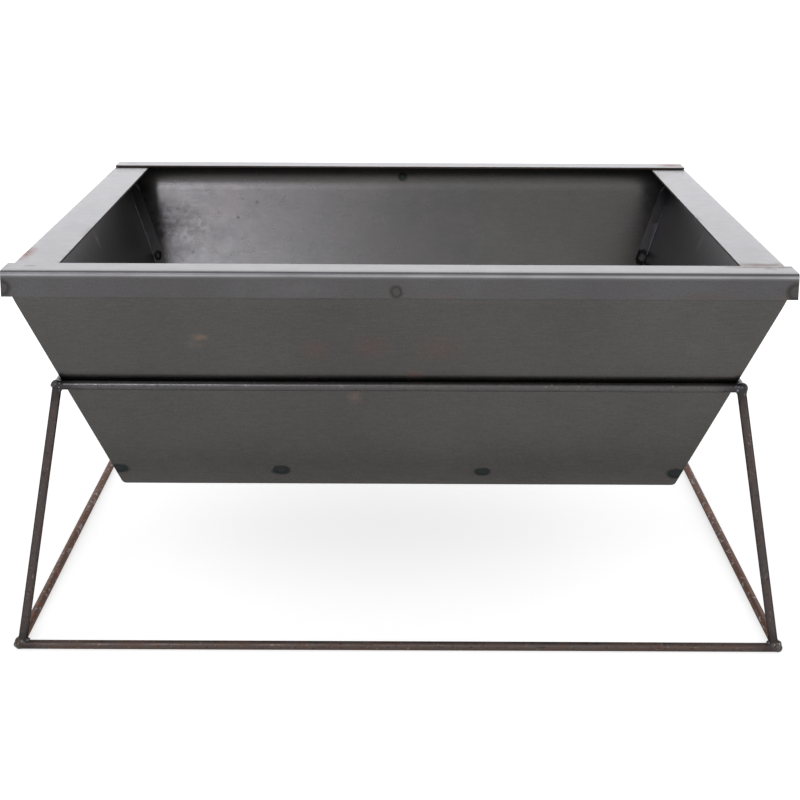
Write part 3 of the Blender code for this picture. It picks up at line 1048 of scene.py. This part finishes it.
    def rim(self, half: float) -> BMesh:
        """Outer face of a front rim: flat flange, fold and lip.

        Args:
            half: half its length.

        Returns:
            The face.
        """
        bm = bmesh.new()
        radius = self.bend_radius
        line = [(self.rim_inner, self.rim_top)]
        for angle in arc(math.pi / 2, math.pi / 2, self.bend_steps):
            line.append((self.rim_front + radius + radius * math.cos(angle),
                         self.rim_top - radius + radius * math.sin(angle)))
        line.append((self.rim_front, self.lip_low))
        grid(bm, [[Vector((x, y, z)) for x in (-half, half)] for y, z in line])
        return bm

    def pan(self) -> BMesh:
        """Outer face of the bottom pan: a flat floor and four edges turned up.

        Returns:
            The face.
        """
        bm = bmesh.new()
        lap = self.thickness + self.gap
        bmesh.ops.create_cube(bm, size=2)
        for vert in bm.verts:
            z = self.pan_top if vert.co.z > 0 else self.pan_low
            vert.co = (vert.co.x * self.width_at(z, lap), vert.co.y * self.depth_at(z, lap), z)
        bm.normal_update()
        lid = [face for face in bm.faces if face.normal.z > 0.9]
        bmesh.ops.delete(bm, geom=lid, context="FACES_ONLY")
        folds = [edge for edge in bm.edges if not edge.is_boundary]
        bmesh.ops.bevel(bm, geom=folds, offset=self.bend_radius, offset_type="OFFSET",
                        segments=5, profile=0.5, affect="EDGES")
        return bm

    def rim_fold(self, points: np.ndarray) -> np.ndarray:
        """Signed distance of points from the middle of the rim's fold, positive on the lip."""
        return (self.rim_top - points[:, 2]) - (np.abs(self.rim_front) - np.abs(points[:, 1]))

    def side_fold(self, points: np.ndarray) -> np.ndarray:
        """Signed distance of points from the fold of a side flange, positive on the slope."""
        return (self.side_top - points[:, 2]) - (self.side_corner - np.abs(points[:, 0]))

    def no_fold(self, points: np.ndarray) -> np.ndarray:
        """Distances for a sheet whose folds don't show."""
        return np.full(len(points), FAR)

    def measure(self, mesh: Mesh, outline: list[tuple[Vector, Vector]], fold: Fold) -> None:
        """Store on a mesh how far its points are from edges, folds and spot welds.

        Args:
            mesh: the cut-up outer face.
            outline: segments of the sheet's outline.
            fold: function that gives the distance from the fold.
        """
        points = np.empty(len(mesh.vertices) * 3)
        mesh.vertices.foreach_get("co", points)
        points = points.reshape(-1, 3)
        spot, side = np.full(len(points), FAR), np.zeros(len(points))
        for weld in self.welds:
            distance, layer = weld.measure(points)
            side = np.where(distance < spot, layer, side)
            spot = np.minimum(spot, distance)
        stored = {"spot_distance": spot, "spot_side": side,
                  "edge_distance": segment_distance(points, outline),
                  "fold_distance": np.clip(fold(points), -FAR, FAR)}
        for label, values in stored.items():
            attribute = mesh.attributes.new(label, "FLOAT", "POINT")
            attribute.data.foreach_set("value", values.astype(np.float32))

    def cut_up(self, bm: BMesh) -> None:
        """Cut a face into cells by planes across X, Y and Z, finer round the spot welds.

        Args:
            bm: the outer face of a sheet.
        """
        points = np.array([vert.co for vert in bm.verts])
        low, high = points.min(axis=0), points.max(axis=0)
        margin = 3 * MM
        near = [weld for weld in self.welds
                if all(low[i] - margin <= weld.place[i] <= high[i] + margin for i in range(3))]
        for axis in range(3):
            normal = Vector([float(i == axis) for i in range(3)])
            across = [weld.place[axis] for weld in near if abs(weld.outward[axis]) < 0.7]
            for place in cut_places(low[axis], high[axis], self.cell, across):
                everything = [*bm.verts, *bm.edges, *bm.faces]
                bmesh.ops.bisect_plane(bm, geom=everything, dist=0.02 * MM,
                                       plane_co=normal * place, plane_no=normal)

    def build_sheet(self, node: str, face: BMesh, outward: Vector, finish: Material,
                    edge: Material, tree: NodeTree, turned: bool, fold: Fold) -> Object:
        """Make one finished sheet from its outer face.

        Args:
            node: the CAD node that the sheet stands for.
            face: the outer face.
            outward: the way that its largest part looks.
            finish: material of the sheet.
            edge: material of the cut edges.
            tree: Geometry Nodes tree that works the sheet.
            turned: True for a rear or right sheet, made as its twin and turned half round.
            fold: function that gives the distance from the fold.

        Returns:
            The sheet, with its place in its mesh.
        """
        bmesh.ops.remove_doubles(face, verts=face.verts, dist=0.01 * MM)
        bmesh.ops.recalc_face_normals(face, faces=face.faces)
        if max(face.faces, key=lambda f: f.calc_area()).normal.dot(outward) < 0:
            bmesh.ops.reverse_faces(face, faces=face.faces)
        if turned:
            face.transform(Matrix.Rotation(math.pi, 4, "Z"))
        outline = [(e.verts[0].co.copy(), e.verts[1].co.copy()) for e in face.edges
                   if e.is_boundary]
        self.cut_up(face)
        bmesh.ops.dissolve_degenerate(face, dist=0.05 * MM, edges=face.edges)
        mesh = bpy.data.meshes.new(node)
        face.to_mesh(mesh)
        face.free()
        self.measure(mesh, outline, fold)
        piece = new_piece(node + "_sheet", mesh)
        run_tree(piece, tree, {
            "Wave Depth": self.wave_depth, "Wave Length": self.wave_length,
            "Dent Depth": self.dent_depth, "Dent Radius": self.dent_radius,
            "Seed": self.seed, "Sheet Steel": finish})
        piece.data.materials.append(edge)
        wall = piece.modifiers.new("thickness", "SOLIDIFY")
        wall.thickness = self.thickness
        wall.offset = -1
        wall.material_offset_rim = 1
        rounding = piece.modifiers.new("edge_round", "BEVEL")
        rounding.width = self.edge_round
        rounding.segments = 2
        rounding.angle_limit = math.radians(50)
        rounding.harden_normals = True
        settle(piece)
        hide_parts(node)
        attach(piece, "bowl")
        return piece

    def build(self, ends: Material, sides: Material, rims: Material,
              edge: Material) -> list[Object]:
        """Build and dress all seven sheets.

        Args:
            ends: finish of the front and rear walls and the pan.
            sides: finish of the side walls.
            rims: finish of the two rims.
            edge: finish of the cut edges.

        Returns:
            The sheets.
        """
        tree = sheet_tree()
        front, left, above = Vector((0, -1, 0)), Vector((-1, 0, 0)), Vector((0, 0, 1))
        sheets = [self.build_sheet("bottom_pan", self.pan(), -above, ends, edge, tree, False,
                                   self.no_fold)]
        for turned in (False, True):
            end, side = ("rear", "right") if turned else ("front", "left")
            rim = self.rim(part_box(f"{end}_rim")[1].x)
            for node, face, outward, finish, fold in (
                    (f"{end}_wall", self.end_wall(), front, ends, self.no_fold),
                    (f"{end}_rim", rim, above, rims, self.rim_fold),
                    (f"{side}_wall", self.side_wall(), left, sides, self.side_fold)):
                sheets.append(self.build_sheet(node, face, outward, finish, edge, tree, turned,
                                               fold))
        return sheets


def bowed_line(tree: NodeTree, given: Any) -> tuple[NodeSocket, NodeSocket]:
    """Line from start to end that bows a little off its straight course.

    Args:
        tree: geometry tree of a rod.
        given: the tree's named inputs.

    Returns:
        The line, and the length along it at each point.
    """
    line = add_node(tree, "GeometryNodeCurvePrimitiveLine",
                    {"Start": given["Start"], "End": given["End"]})
    points = add_node(tree, "GeometryNodeResampleCurve",
                      {"Curve": line.outputs[0], "Length": given["Step"]}, mode="LENGTH")
    spline = add_node(tree, "GeometryNodeSplineParameter")
    place = add_node(tree, "GeometryNodeInputPosition").outputs[0]
    drift = add_node(tree, "ShaderNodeTexNoise",
                     {"Vector": place, "W": given["Seed"], "Scale": 4.0, "Detail": 0.0},
                     noise_dimensions="4D")
    centred = add_node(tree, "ShaderNodeVectorMath", {0: drift.outputs[1], 1: (0.5, 0.5, 0.5)},
                       operation="SUBTRACT")
    bowed = add_node(tree, "ShaderNodeVectorMath", {0: centred.outputs[0], 1: given["Bow"]},
                     operation="MULTIPLY")
    swell = work_out(tree, spline.outputs[0], ("MULTIPLY", math.pi), ("SINE",))
    offset = add_node(tree, "ShaderNodeVectorMath", {0: bowed.outputs[0], "Scale": swell},
                      operation="SCALE")
    bent = add_node(tree, "GeometryNodeSetPosition",
                    {"Geometry": points.outputs[0], "Offset": offset.outputs[0]})
    lengths = add_node(tree, "GeometryNodeCaptureAttribute", {"Geometry": bent.outputs[0]})
    lengths.capture_items.new("FLOAT", "Length")
    tree.links.new(spline.outputs[1], lengths.inputs[1])
    return lengths.outputs[0], lengths.outputs[1]


def rod_tree() -> NodeTree:
    """Geometry Nodes tree of one drawn rod: a slightly bowed line swept to a pitted bar.

    Returns:
        The tree.
    """
    tree = new_geometry_tree("drawn rod", {
        "Start": "NodeSocketVector", "End": "NodeSocketVector", "Radius": "NodeSocketFloat",
        "Sides": "NodeSocketInt", "Step": "NodeSocketFloat", "Bow": "NodeSocketVector",
        "Pitting": "NodeSocketFloat", "Seed": "NodeSocketFloat",
        "Rod Steel": "NodeSocketMaterial"})
    given = add_node(tree, "NodeGroupInput").outputs
    line, length = bowed_line(tree, given)
    place = add_node(tree, "GeometryNodeInputPosition").outputs[0]
    circle = add_node(tree, "GeometryNodeCurvePrimitiveCircle",
                      {"Resolution": given["Sides"], "Radius": given["Radius"]})
    round_at = add_node(tree, "GeometryNodeCaptureAttribute", {"Geometry": circle.outputs[0]})
    round_at.capture_items.new("VECTOR", "Round")
    tree.links.new(place, round_at.inputs[1])
    bar = add_node(tree, "GeometryNodeCurveToMesh",
                   {"Curve": line, "Profile Curve": round_at.outputs[0],
                    "Fill Caps": True})
    split = add_node(tree, "ShaderNodeSeparateXYZ", {0: round_at.outputs[1]})
    seeded = work_out(tree, length, ("ADD", given["Seed"]))
    rod_space = add_node(tree, "ShaderNodeCombineXYZ",
                         {0: split.outputs[0], 1: split.outputs[1], 2: seeded})
    mapped = add_node(tree, "GeometryNodeStoreNamedAttribute",
                      {"Geometry": bar.outputs[0], "Name": "rod_space",
                       "Value": rod_space.outputs[0]}, data_type="FLOAT_VECTOR")
    run = add_node(tree, "ShaderNodeVectorMath", {0: given["Start"], 1: given["End"]},
                   operation="DISTANCE").outputs[1]
    nearer = work_out(tree, run, ("SUBTRACT", length), ("MINIMUM", length))
    measured = add_node(tree, "GeometryNodeStoreNamedAttribute",
                        {"Geometry": mapped.outputs[0], "Name": "end_distance",
                         "Value": nearer}, data_type="FLOAT")
    pits = add_node(tree, "ShaderNodeTexNoise", {"Vector": place, "Scale": 1 / (3.5 * MM)})
    depth = work_out(tree, pits.outputs[0], ("MULTIPLY", given["Pitting"]), ("MULTIPLY", -1.0))
    pitted = push_out(tree, measured.outputs[0], depth)
    add_node(tree, "NodeGroupOutput", {0: make_real(tree, pitted, given["Rod Steel"])})
    return tree


def bead_tree() -> NodeTree:
    """Geometry Nodes tree of a weld: one ripple of metal on each point of its path.

    Returns:
        The tree.
    """
    tree = new_geometry_tree("weld ripples", {
        "Unevenness": "NodeSocketFloat", "Seed": "NodeSocketInt",
        "Weld Metal": "NodeSocketMaterial"})
    given = add_node(tree, "NodeGroupInput").outputs
    radius = add_node(tree, "GeometryNodeInputNamedAttribute", {"Name": "ripple_radius"},
                      data_type="FLOAT").outputs[0]
    low = work_out(tree, 1.0, ("SUBTRACT", given["Unevenness"]))
    chance = add_node(tree, "FunctionNodeRandomValue",
                      {2: low, 3: 1.0, "Seed": given["Seed"]}, data_type="FLOAT").outputs[1]
    points = add_node(tree, "GeometryNodeMeshToPoints", {0: given["Geometry"]})
    size = work_out(tree, radius, ("MULTIPLY", chance))
    ripples = set_balls(tree, points.outputs[0], size, 3)
    add_node(tree, "NodeGroupOutput", {0: make_real(tree, ripples, given["Weld Metal"])})
    return tree


def spatter_tree() -> NodeTree:
    """Geometry Nodes tree that sets droplets of spatter half into the surface of a weld.

    Returns:
        The tree.
    """
    tree = new_geometry_tree("weld spatter", {
        "Density": "NodeSocketFloat", "Smallest": "NodeSocketFloat",
        "Largest": "NodeSocketFloat", "Seed": "NodeSocketInt", "Spatter": "NodeSocketMaterial"})
    given = add_node(tree, "NodeGroupInput").outputs
    points = add_node(tree, "GeometryNodeDistributePointsOnFaces",
                      {"Mesh": given["Geometry"], "Density": given["Density"],
                       "Seed": given["Seed"]})
    size = add_node(tree, "FunctionNodeRandomValue",
                    {2: given["Smallest"], 3: given["Largest"], "Seed": given["Seed"]},
                    data_type="FLOAT").outputs[1]
    droplets = make_real(tree, set_balls(tree, points.outputs[0], size, 2), given["Spatter"])
    both = add_node(tree, "GeometryNodeJoinGeometry")
    tree.links.new(droplets, both.inputs[0])
    tree.links.new(given["Geometry"], both.inputs[0])
    smooth = add_node(tree, "GeometryNodeSetShadeSmooth", {0: both.outputs[0]})
    add_node(tree, "NodeGroupOutput", {0: smooth.outputs[0]})
    return tree


@dataclass
class WeldedCorner:
    """Corner of the stand where two level rods and a leg run into one lump of weld metal."""

    node: str
    corner: Vector
    outward: Vector
    arms: list[tuple[Vector, Vector]]      # start and direction of each rod, the leg last
    rod_radius: float
    inner_fillet: bool
    ground_flat: bool
    seed: int
    swell: float
    fillet: float                 # how far the metal fills the crotch between two rods
    lump_rise: float              # middle of the lump of metal on the outer side of the leg
    lump_radius: float
    collar: float = 9 * MM
    ripple_step: float = 1.4 * MM
    fillet_radius: float = 2.3 * MM
    cap_shift: float = 1.2 * MM    # how far the cap and the lump lie towards the outside
    lump_shift: float = 0.8 * MM
    flat_reach: float = 4.0 * MM
    voxel: float = 0.4 * MM
    spatter_density: float = 1.8e3  # droplets per square metre
    droplet_radii: tuple[float, float] = (0.2 * MM, 0.5 * MM)

    def ripples(self) -> list[tuple[Vector, float]]:
        """Centres and radii of the ripples: collars along the rods, fillets between, a cap.

        Returns:
            Pairs of place and radius.
        """
        shift = self.outward * self.swell * math.sqrt(2)
        found = [(self.corner + shift, self.rod_radius + self.swell)]
        for start, along in self.arms:
            for reach in np.arange(0, self.collar, self.ripple_step):
                fade = reach / self.collar
                radius = self.rod_radius + self.swell * (1 - 2 * fade)
                found.append((start + along * float(reach) + shift * (1 - fade), radius))
        front, side, leg = self.arms
        pairs = [(front, leg), (side, leg)] + ([(front, side)] if self.inner_fillet else [])
        for (_, first), (start, second) in pairs:
            half = first.angle(second) / 2
            crotch = self.rod_radius / math.sin(half)
            middle = (first + second).normalized()
            depth = crotch + self.fillet - self.fillet_radius
            found.append((start + middle * depth, self.fillet_radius))
        cap = self.corner + self.outward * self.cap_shift
        found.append((cap, self.rod_radius + self.swell * 0.5))
        lump = self.corner + self.outward * self.lump_shift + Vector((0, 0, self.lump_rise))
        return found + [(lump, self.lump_radius)]

    def trim(self, mesh: Mesh) -> None:
        """Grind the outer side flat where the maker did, and keep all of it above the ground.

        Args:
            mesh: the weld.
        """
        ways = [(self.outward + Vector((0, 0, lift))).normalized() for lift in (-0.8, 0.8)]
        for vert in mesh.vertices:
            for way in ways if self.ground_flat else ():
                past = (vert.co - self.corner).dot(way) - self.flat_reach
                vert.co -= way * max(past, 0.0)
            vert.co.z = max(vert.co.z, 0.0)

    def build(self, beads: NodeTree, spatter: NodeTree, metal: Material,
              droplets: Material) -> Object:
        """Build and dress the weld.

        Args:
            beads: Geometry Nodes tree of the ripples.
            spatter: Geometry Nodes tree of the droplets.
            metal: finish of the bead.
            droplets: finish of the spatter.

        Returns:
            The weld.
        """
        places = self.ripples()
        mesh = bpy.data.meshes.new(self.node)
        mesh.from_pydata([place for place, _ in places], [], [])
        radii = mesh.attributes.new("ripple_radius", "FLOAT", "POINT")
        radii.data.foreach_set("value", [radius for _, radius in places])
        piece = new_piece(self.node + "_bead", mesh)
        run_tree(piece, beads, {"Unevenness": 0.05, "Seed": self.seed, "Weld Metal": metal})
        fused = piece.modifiers.new("fused", "REMESH")
        fused.mode = "VOXEL"
        fused.voxel_size = self.voxel
        fused.use_smooth_shade = True
        flowed = piece.modifiers.new("flowed", "SMOOTH")
        flowed.factor = 0.5
        flowed.iterations = 5
        settle(piece)
        piece.data.materials.clear()
        piece.data.materials.append(metal)
        self.trim(piece.data)
        smallest, largest = self.droplet_radii
        run_tree(piece, spatter, {"Density": self.spatter_density, "Smallest": smallest,
                                  "Largest": largest, "Seed": self.seed, "Spatter": droplets})
        self.trim(piece.data)
        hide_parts(self.node)
        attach(piece, "stand")
        return piece


@dataclass
class Stand:
    """Welded stand: ring, base frame and four splayed legs of one round rod."""

    sides: int = 24
    step: float = 5 * MM
    bow: float = 0.5 * MM
    pitting: float = 0.06 * MM
    end_cover: float = 1.5 * MM     # rods stop this far from the corner, inside the weld
    leg_inset: float = 2.5 * MM     # a leg stands this far in from the corner of the base

    def __post_init__(self) -> None:
        """Read the axes of the rods from the frame."""
        self.radius = (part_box("ring_front_rod")[1].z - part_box("ring_front_rod")[0].z) / 2
        self.ring = self.level_corner("ring")
        self.base = self.level_corner("base")

    @staticmethod
    def level_corner(level: str) -> Vector:
        """Crossing of the rod axes at the right rear corner of one level.

        Args:
            level: "ring" or "base".

        Returns:
            The crossing.
        """
        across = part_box(f"{level}_rear_rod")
        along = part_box(f"{level}_right_rod")
        return Vector(((along[0].x + along[1].x) / 2, (across[0].y + across[1].y) / 2,
                       (across[0].z + across[1].z) / 2))

    def corner(self, level: Vector, side: int, end: int) -> Vector:
        """Corner of a level on one side (-1 left, 1 right) and end (-1 front, 1 rear)."""
        return Vector((side * level.x, end * level.y, level.z))

    def foot(self, side: int, end: int) -> Vector:
        """Foot of the leg on one side and end, on the axis of the front or rear base rod."""
        return self.corner(self.base, side, end) - Vector((side * self.leg_inset, 0, 0))

    def build_rod(self, node: str, start: Vector, end: Vector, tree: NodeTree, finish: Material,
                  seed: int) -> Object:
        """Build and dress one rod.

        Args:
            node: the CAD node that the rod stands for.
            start: corner where it begins.
            end: corner where it stops.
            tree: Geometry Nodes tree of a rod.
            finish: its material.
            seed: number that sets its bow and its rust apart.

        Returns:
            The rod.
        """
        trim = (end - start).normalized() * self.end_cover
        piece = new_piece(node + "_bar", bpy.data.meshes.new(node))
        lying = node.startswith("base")
        bow = Vector((self.bow, self.bow, 0.0 if lying else self.bow))
        run_tree(piece, tree, {
            "Start": start + trim, "End": end - trim, "Radius": self.radius,
            "Sides": self.sides, "Step": self.step, "Bow": bow, "Pitting": self.pitting,
            "Seed": float(seed), "Rod Steel": finish})
        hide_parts(node)
        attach(piece, "stand")
        return piece

    def build_rods(self, finishes: dict[str, Material]) -> list[Object]:
        """Build the rods of the ring, the base and the legs.

        Args:
            finishes: material of the rods by first word of their names, or by whole name.

        Returns:
            The twelve rods.
        """
        tree = rod_tree()
        runs = []
        for label, level in (("ring", self.ring), ("base", self.base)):
            for end, word in ((-1, "front"), (1, "rear")):
                runs.append((f"{label}_{word}_rod", self.corner(level, -1, end),
                             self.corner(level, 1, end)))
            for side, word in ((-1, "left"), (1, "right")):
                runs.append((f"{label}_{word}_rod", self.corner(level, side, -1),
                             self.corner(level, side, 1)))
        for place, side, end in self.places():
            runs.append((f"leg_{place}", self.foot(side, end), self.corner(self.ring, side, end)))
        made = []
        for seed, (node, start, stop) in enumerate(runs, start=1):
            finish = finishes.get(node, finishes[node.split("_")[0]])
            made.append(self.build_rod(node, start, stop, tree, finish, seed))
        return made

    @staticmethod
    def places() -> list[tuple[str, int, int]]:
        """Name, side and end of each corner."""
        return [(f"{word}_{hand}", side, end) for end, word in ((-1, "front"), (1, "rear"))
                for side, hand in ((-1, "left"), (1, "right"))]

    def build_welds(self, ring_metal: Material, base_metal: Material,
                    droplets: Material) -> list[Object]:
        """Build the welds at the eight corners.

        Args:
            ring_metal: finish of the beads of the ring.
            base_metal: finish of the beads of the base.
            droplets: finish of the spatter.

        Returns:
            The welds.
        """
        beads, spatter = bead_tree(), spatter_tree()
        made = []
        for place, side, end in self.places():
            head, foot = self.corner(self.ring, side, end), self.foot(side, end)
            corner = self.corner(self.base, side, end)
            inward, across = Vector((-side, 0, 0)), Vector((0, -end, 0))
            outward = Vector((side, end, 0)).normalized()
            down = (foot - head).normalized()
            ring = WeldedCorner(
                f"ring_weld_{place}", head, outward,
                [(head, inward), (head, across), (head, down)], self.radius,
                inner_fillet=False, ground_flat=side < 0, seed=len(made) + 3,
                swell=0.9 * MM, fillet=0.9 * MM, lump_rise=-3.5 * MM, lump_radius=4.5 * MM)
            base = WeldedCorner(
                f"base_weld_{place}", corner, outward,
                [(corner, inward), (corner, across), (foot, -down)], self.radius,
                inner_fillet=True, ground_flat=side < 0, seed=len(made) + 4,
                swell=0.2 * MM, fillet=2.4 * MM, lump_rise=3.4 * MM, lump_radius=3.5 * MM)
            made += [ring.build(beads, spatter, ring_metal, droplets),
                     base.build(beads, spatter, base_metal, droplets)]
        return made


@dataclass(frozen=True)
class Softbox:
    """Soft lamp: place, width, height, how bright its face is beside white, and its colour."""

    name: str
    place: tuple[float, float, float]
    width: float
    height: float
    brightness: float
    colour: str = "F9F9FF"

    def hang(self, target: Vector) -> None:
        """Add the lamp, turned towards a target.

        Args:
            target: point that it faces.
        """
        light = bpy.data.lights.new(self.name, "AREA")
        light.shape = "RECTANGLE"
        light.size, light.size_y = self.width, self.height
        light.energy = self.brightness * math.pi * self.width * self.height
        light.color = linear(self.colour)[:3]
        obj = bpy.data.objects.new(self.name, light)
        obj.location = self.place
        obj.rotation_euler = (target - Vector(self.place)).to_track_quat("-Z", "Y").to_euler()
        obj.visible_camera = False
        bpy.context.scene.collection.objects.link(obj)


@dataclass
class Studio:
    """Plain white studio: floor, soft lights and the camera."""

    floor_radius: float = 60.0
    overhead: float = 0.5          # brightness of the surroundings high up, beside white
    floor_glow: float = 0.42       # what the floor adds where it is seen, to read as white
    camera_glow: float = 0.68
    lens: float = 82.448
    camera_place: tuple[float, float, float] = (-0.0006, -1.8051, 0.6277)
    pitch: float = 15.322
    yaw: float = 0.0471
    roll: float = 0.2633
    lamp_target: tuple[float, float, float] = (0.0, 0.0, 0.25)
    lamps: tuple[Softbox, ...] = (
        Softbox("key", (-0.88, -4.0, 2.65), 0.4, 1.4, 11.8, "F0F1FF"),
        Softbox("back", (0.0, 3.2, 1.25), 4.0, 1.7, 1.16),
        Softbox("fill", (2.2, -1.2, 1.0), 1.0, 1.0, 1.15))

    def build_world(self) -> None:
        """Surroundings: white round the horizon, dimmer overhead, and white to the camera."""
        world = bpy.data.worlds.new("white studio")
        bpy.context.scene.world = world
        world.use_nodes = True
        tree = world.node_tree
        tree.nodes.clear()
        way = add_node(tree, "ShaderNodeTexCoord").outputs["Generated"]
        height = add_node(tree, "ShaderNodeSeparateXYZ", {0: way}).outputs[2]
        level = band(tree, height, [(0.45, 1.0), (0.75, self.overhead)])
        seen = add_node(tree, "ShaderNodeLightPath").outputs["Is Camera Ray"]
        strength = work_out(tree, level, ("MAXIMUM", seen))
        glow = add_node(tree, "ShaderNodeBackground",
                        {"Color": (1, 1, 1, 1), "Strength": strength})
        add_node(tree, "ShaderNodeOutputWorld", {0: glow.outputs[0]})

    def build_floor(self) -> Object:
        """White floor that keeps the object's shadow.

        Returns:
            The floor.
        """
        bm = bmesh.new()
        bmesh.ops.create_circle(bm, cap_ends=True, segments=96, radius=self.floor_radius)
        mesh = bpy.data.meshes.new("floor")
        bm.to_mesh(mesh)
        bm.free()
        floor = new_piece("floor", mesh)
        material, tree, place = new_material("white studio floor")
        tone = band(tree, noise(tree, place, 0.4, 2), [(0.3, 0.66), (0.7, 0.68)])
        paint = add_node(tree, "ShaderNodeBsdfDiffuse", {"Color": tone})
        path = add_node(tree, "ShaderNodeLightPath").outputs
        mirrored = work_out(tree, path["Is Glossy Ray"], ("MAXIMUM", path["Is Transmission Ray"]),
                            ("MULTIPLY", self.floor_glow))
        strength = work_out(tree, path["Is Camera Ray"], ("MULTIPLY", self.camera_glow),
                            ("MAXIMUM", mirrored))
        glow = add_node(tree, "ShaderNodeEmission", {"Strength": strength})
        both = add_node(tree, "ShaderNodeAddShader", {0: paint.outputs[0], 1: glow.outputs[0]})
        add_node(tree, "ShaderNodeOutputMaterial", {0: both.outputs[0]})
        mesh.materials.append(material)
        return floor

    def build_camera(self) -> None:
        """Camera at the photograph's place, turned by its pitch, yaw and roll."""
        pitch, yaw, roll = (math.radians(a) for a in (self.pitch, self.yaw, self.roll))
        forward = Vector((math.sin(yaw) * math.cos(pitch), math.cos(yaw) * math.cos(pitch),
                          -math.sin(pitch)))
        level = Vector((math.cos(yaw), -math.sin(yaw), 0))
        upward = level.cross(forward)
        right = level * math.cos(roll) + upward * math.sin(roll)
        above = upward * math.cos(roll) - level * math.sin(roll)
        data = bpy.data.cameras.new("camera")
        data.lens = self.lens
        data.sensor_width = 36
        camera = bpy.data.objects.new("camera", data)
        turn = Matrix((right, above, -forward)).transposed().to_4x4()
        camera.matrix_world = Matrix.Translation(self.camera_place) @ turn
        bpy.context.scene.collection.objects.link(camera)
        bpy.context.scene.camera = camera

    def build(self) -> None:
        """Build the whole studio."""
        bpy.context.scene.view_settings.view_transform = "Standard"
        self.build_camera()
        self.build_world()
        self.build_floor()
        for lamp in self.lamps:
            lamp.hang(Vector(self.lamp_target))


def main() -> None:
    """Build the fire pit and the studio."""
    logging.basicConfig(level=logging.INFO, format="%(name)s %(message)s")
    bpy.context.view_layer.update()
    Studio().build()

    bowl = Bowl()
    # The end walls carry painted shade on their upper part, under the rims.
    ends = MillSheetSteel("hot rolled steel sheet, end walls", Rolling.LEFT_TO_RIGHT,
                          stains=bowl.wall_stains(), line_depth=0.08, under_rim_shade=0.75,
                          dark="565554", pale="5E5D5B", olive="595855", heather="605959",
                          roughness=0.26)
    # The side walls' stains include painted shadow at the flanges' front inner corners.
    sides = MillSheetSteel("hot rolled steel sheet, side walls", Rolling.FRONT_TO_REAR,
                           mark=SpotMark.BURN, stains=bowl.flange_stains_and_shade(),
                           stained_side=(0, 0, 1), edge_rust=0.3, scuffing=0.025,
                           scorch="15171A", wobble=2.4 * MM, dark="555558", pale="5E5E61")
    rims = MillSheetSteel("hot rolled steel sheet, folded rims", Rolling.LEFT_TO_RIGHT,
                          mark=SpotMark.RING, stains=bowl.rim_stains(),
                          stained_side=(0, -1, 1), edge_rust=0.3, scuffing=0.02,
                          dark="585758", pale="626163")
    sheets = bowl.build(ends.material(), sides.material(), rims.material(),
                        ShearedEdge().material())

    stand = Stand()
    ring = DrawnRodSteel("drawn rod steel, ring", 0.05, grey="5B5B5B", sheen="C4C4C6")
    legs = DrawnRodSteel("drawn rod steel, legs", 0.22, grey="514C4C", brown="584B45",
                         red="64493E", sheen="2E2C2B")
    base = DrawnRodSteel("drawn rod steel, base", 0.5, grey="5D5755", brown="61514A",
                         red="684B3D")
    rusted = DrawnRodSteel("drawn rod steel, rusted base sides", 0.95, brown="66432F",
                           red="774428", fleck="B4B4B6", fleck_width=4 * MM,
                           fleck_level=0.57).material()
    rods = stand.build_rods({
        "ring": ring.material(), "leg": legs.material(), "base": base.material(),
        "base_left_rod": rusted, "base_right_rod": rusted})
    ring_metal = WeldMetal("as-welded steel bead, ring", "3E4043", "403B39")
    base_metal = WeldMetal("as-welded steel bead, base", "5A5A58", "4C3D35")
    welds = stand.build_welds(ring_metal.material(), base_metal.material(),
                              SpatterSteel().material())
    for piece in (*sheets, *rods, *welds):
        log.info("%s: %d faces", piece.name, len(piece.data.polygons))


if __name__ == "__main__":
    main()
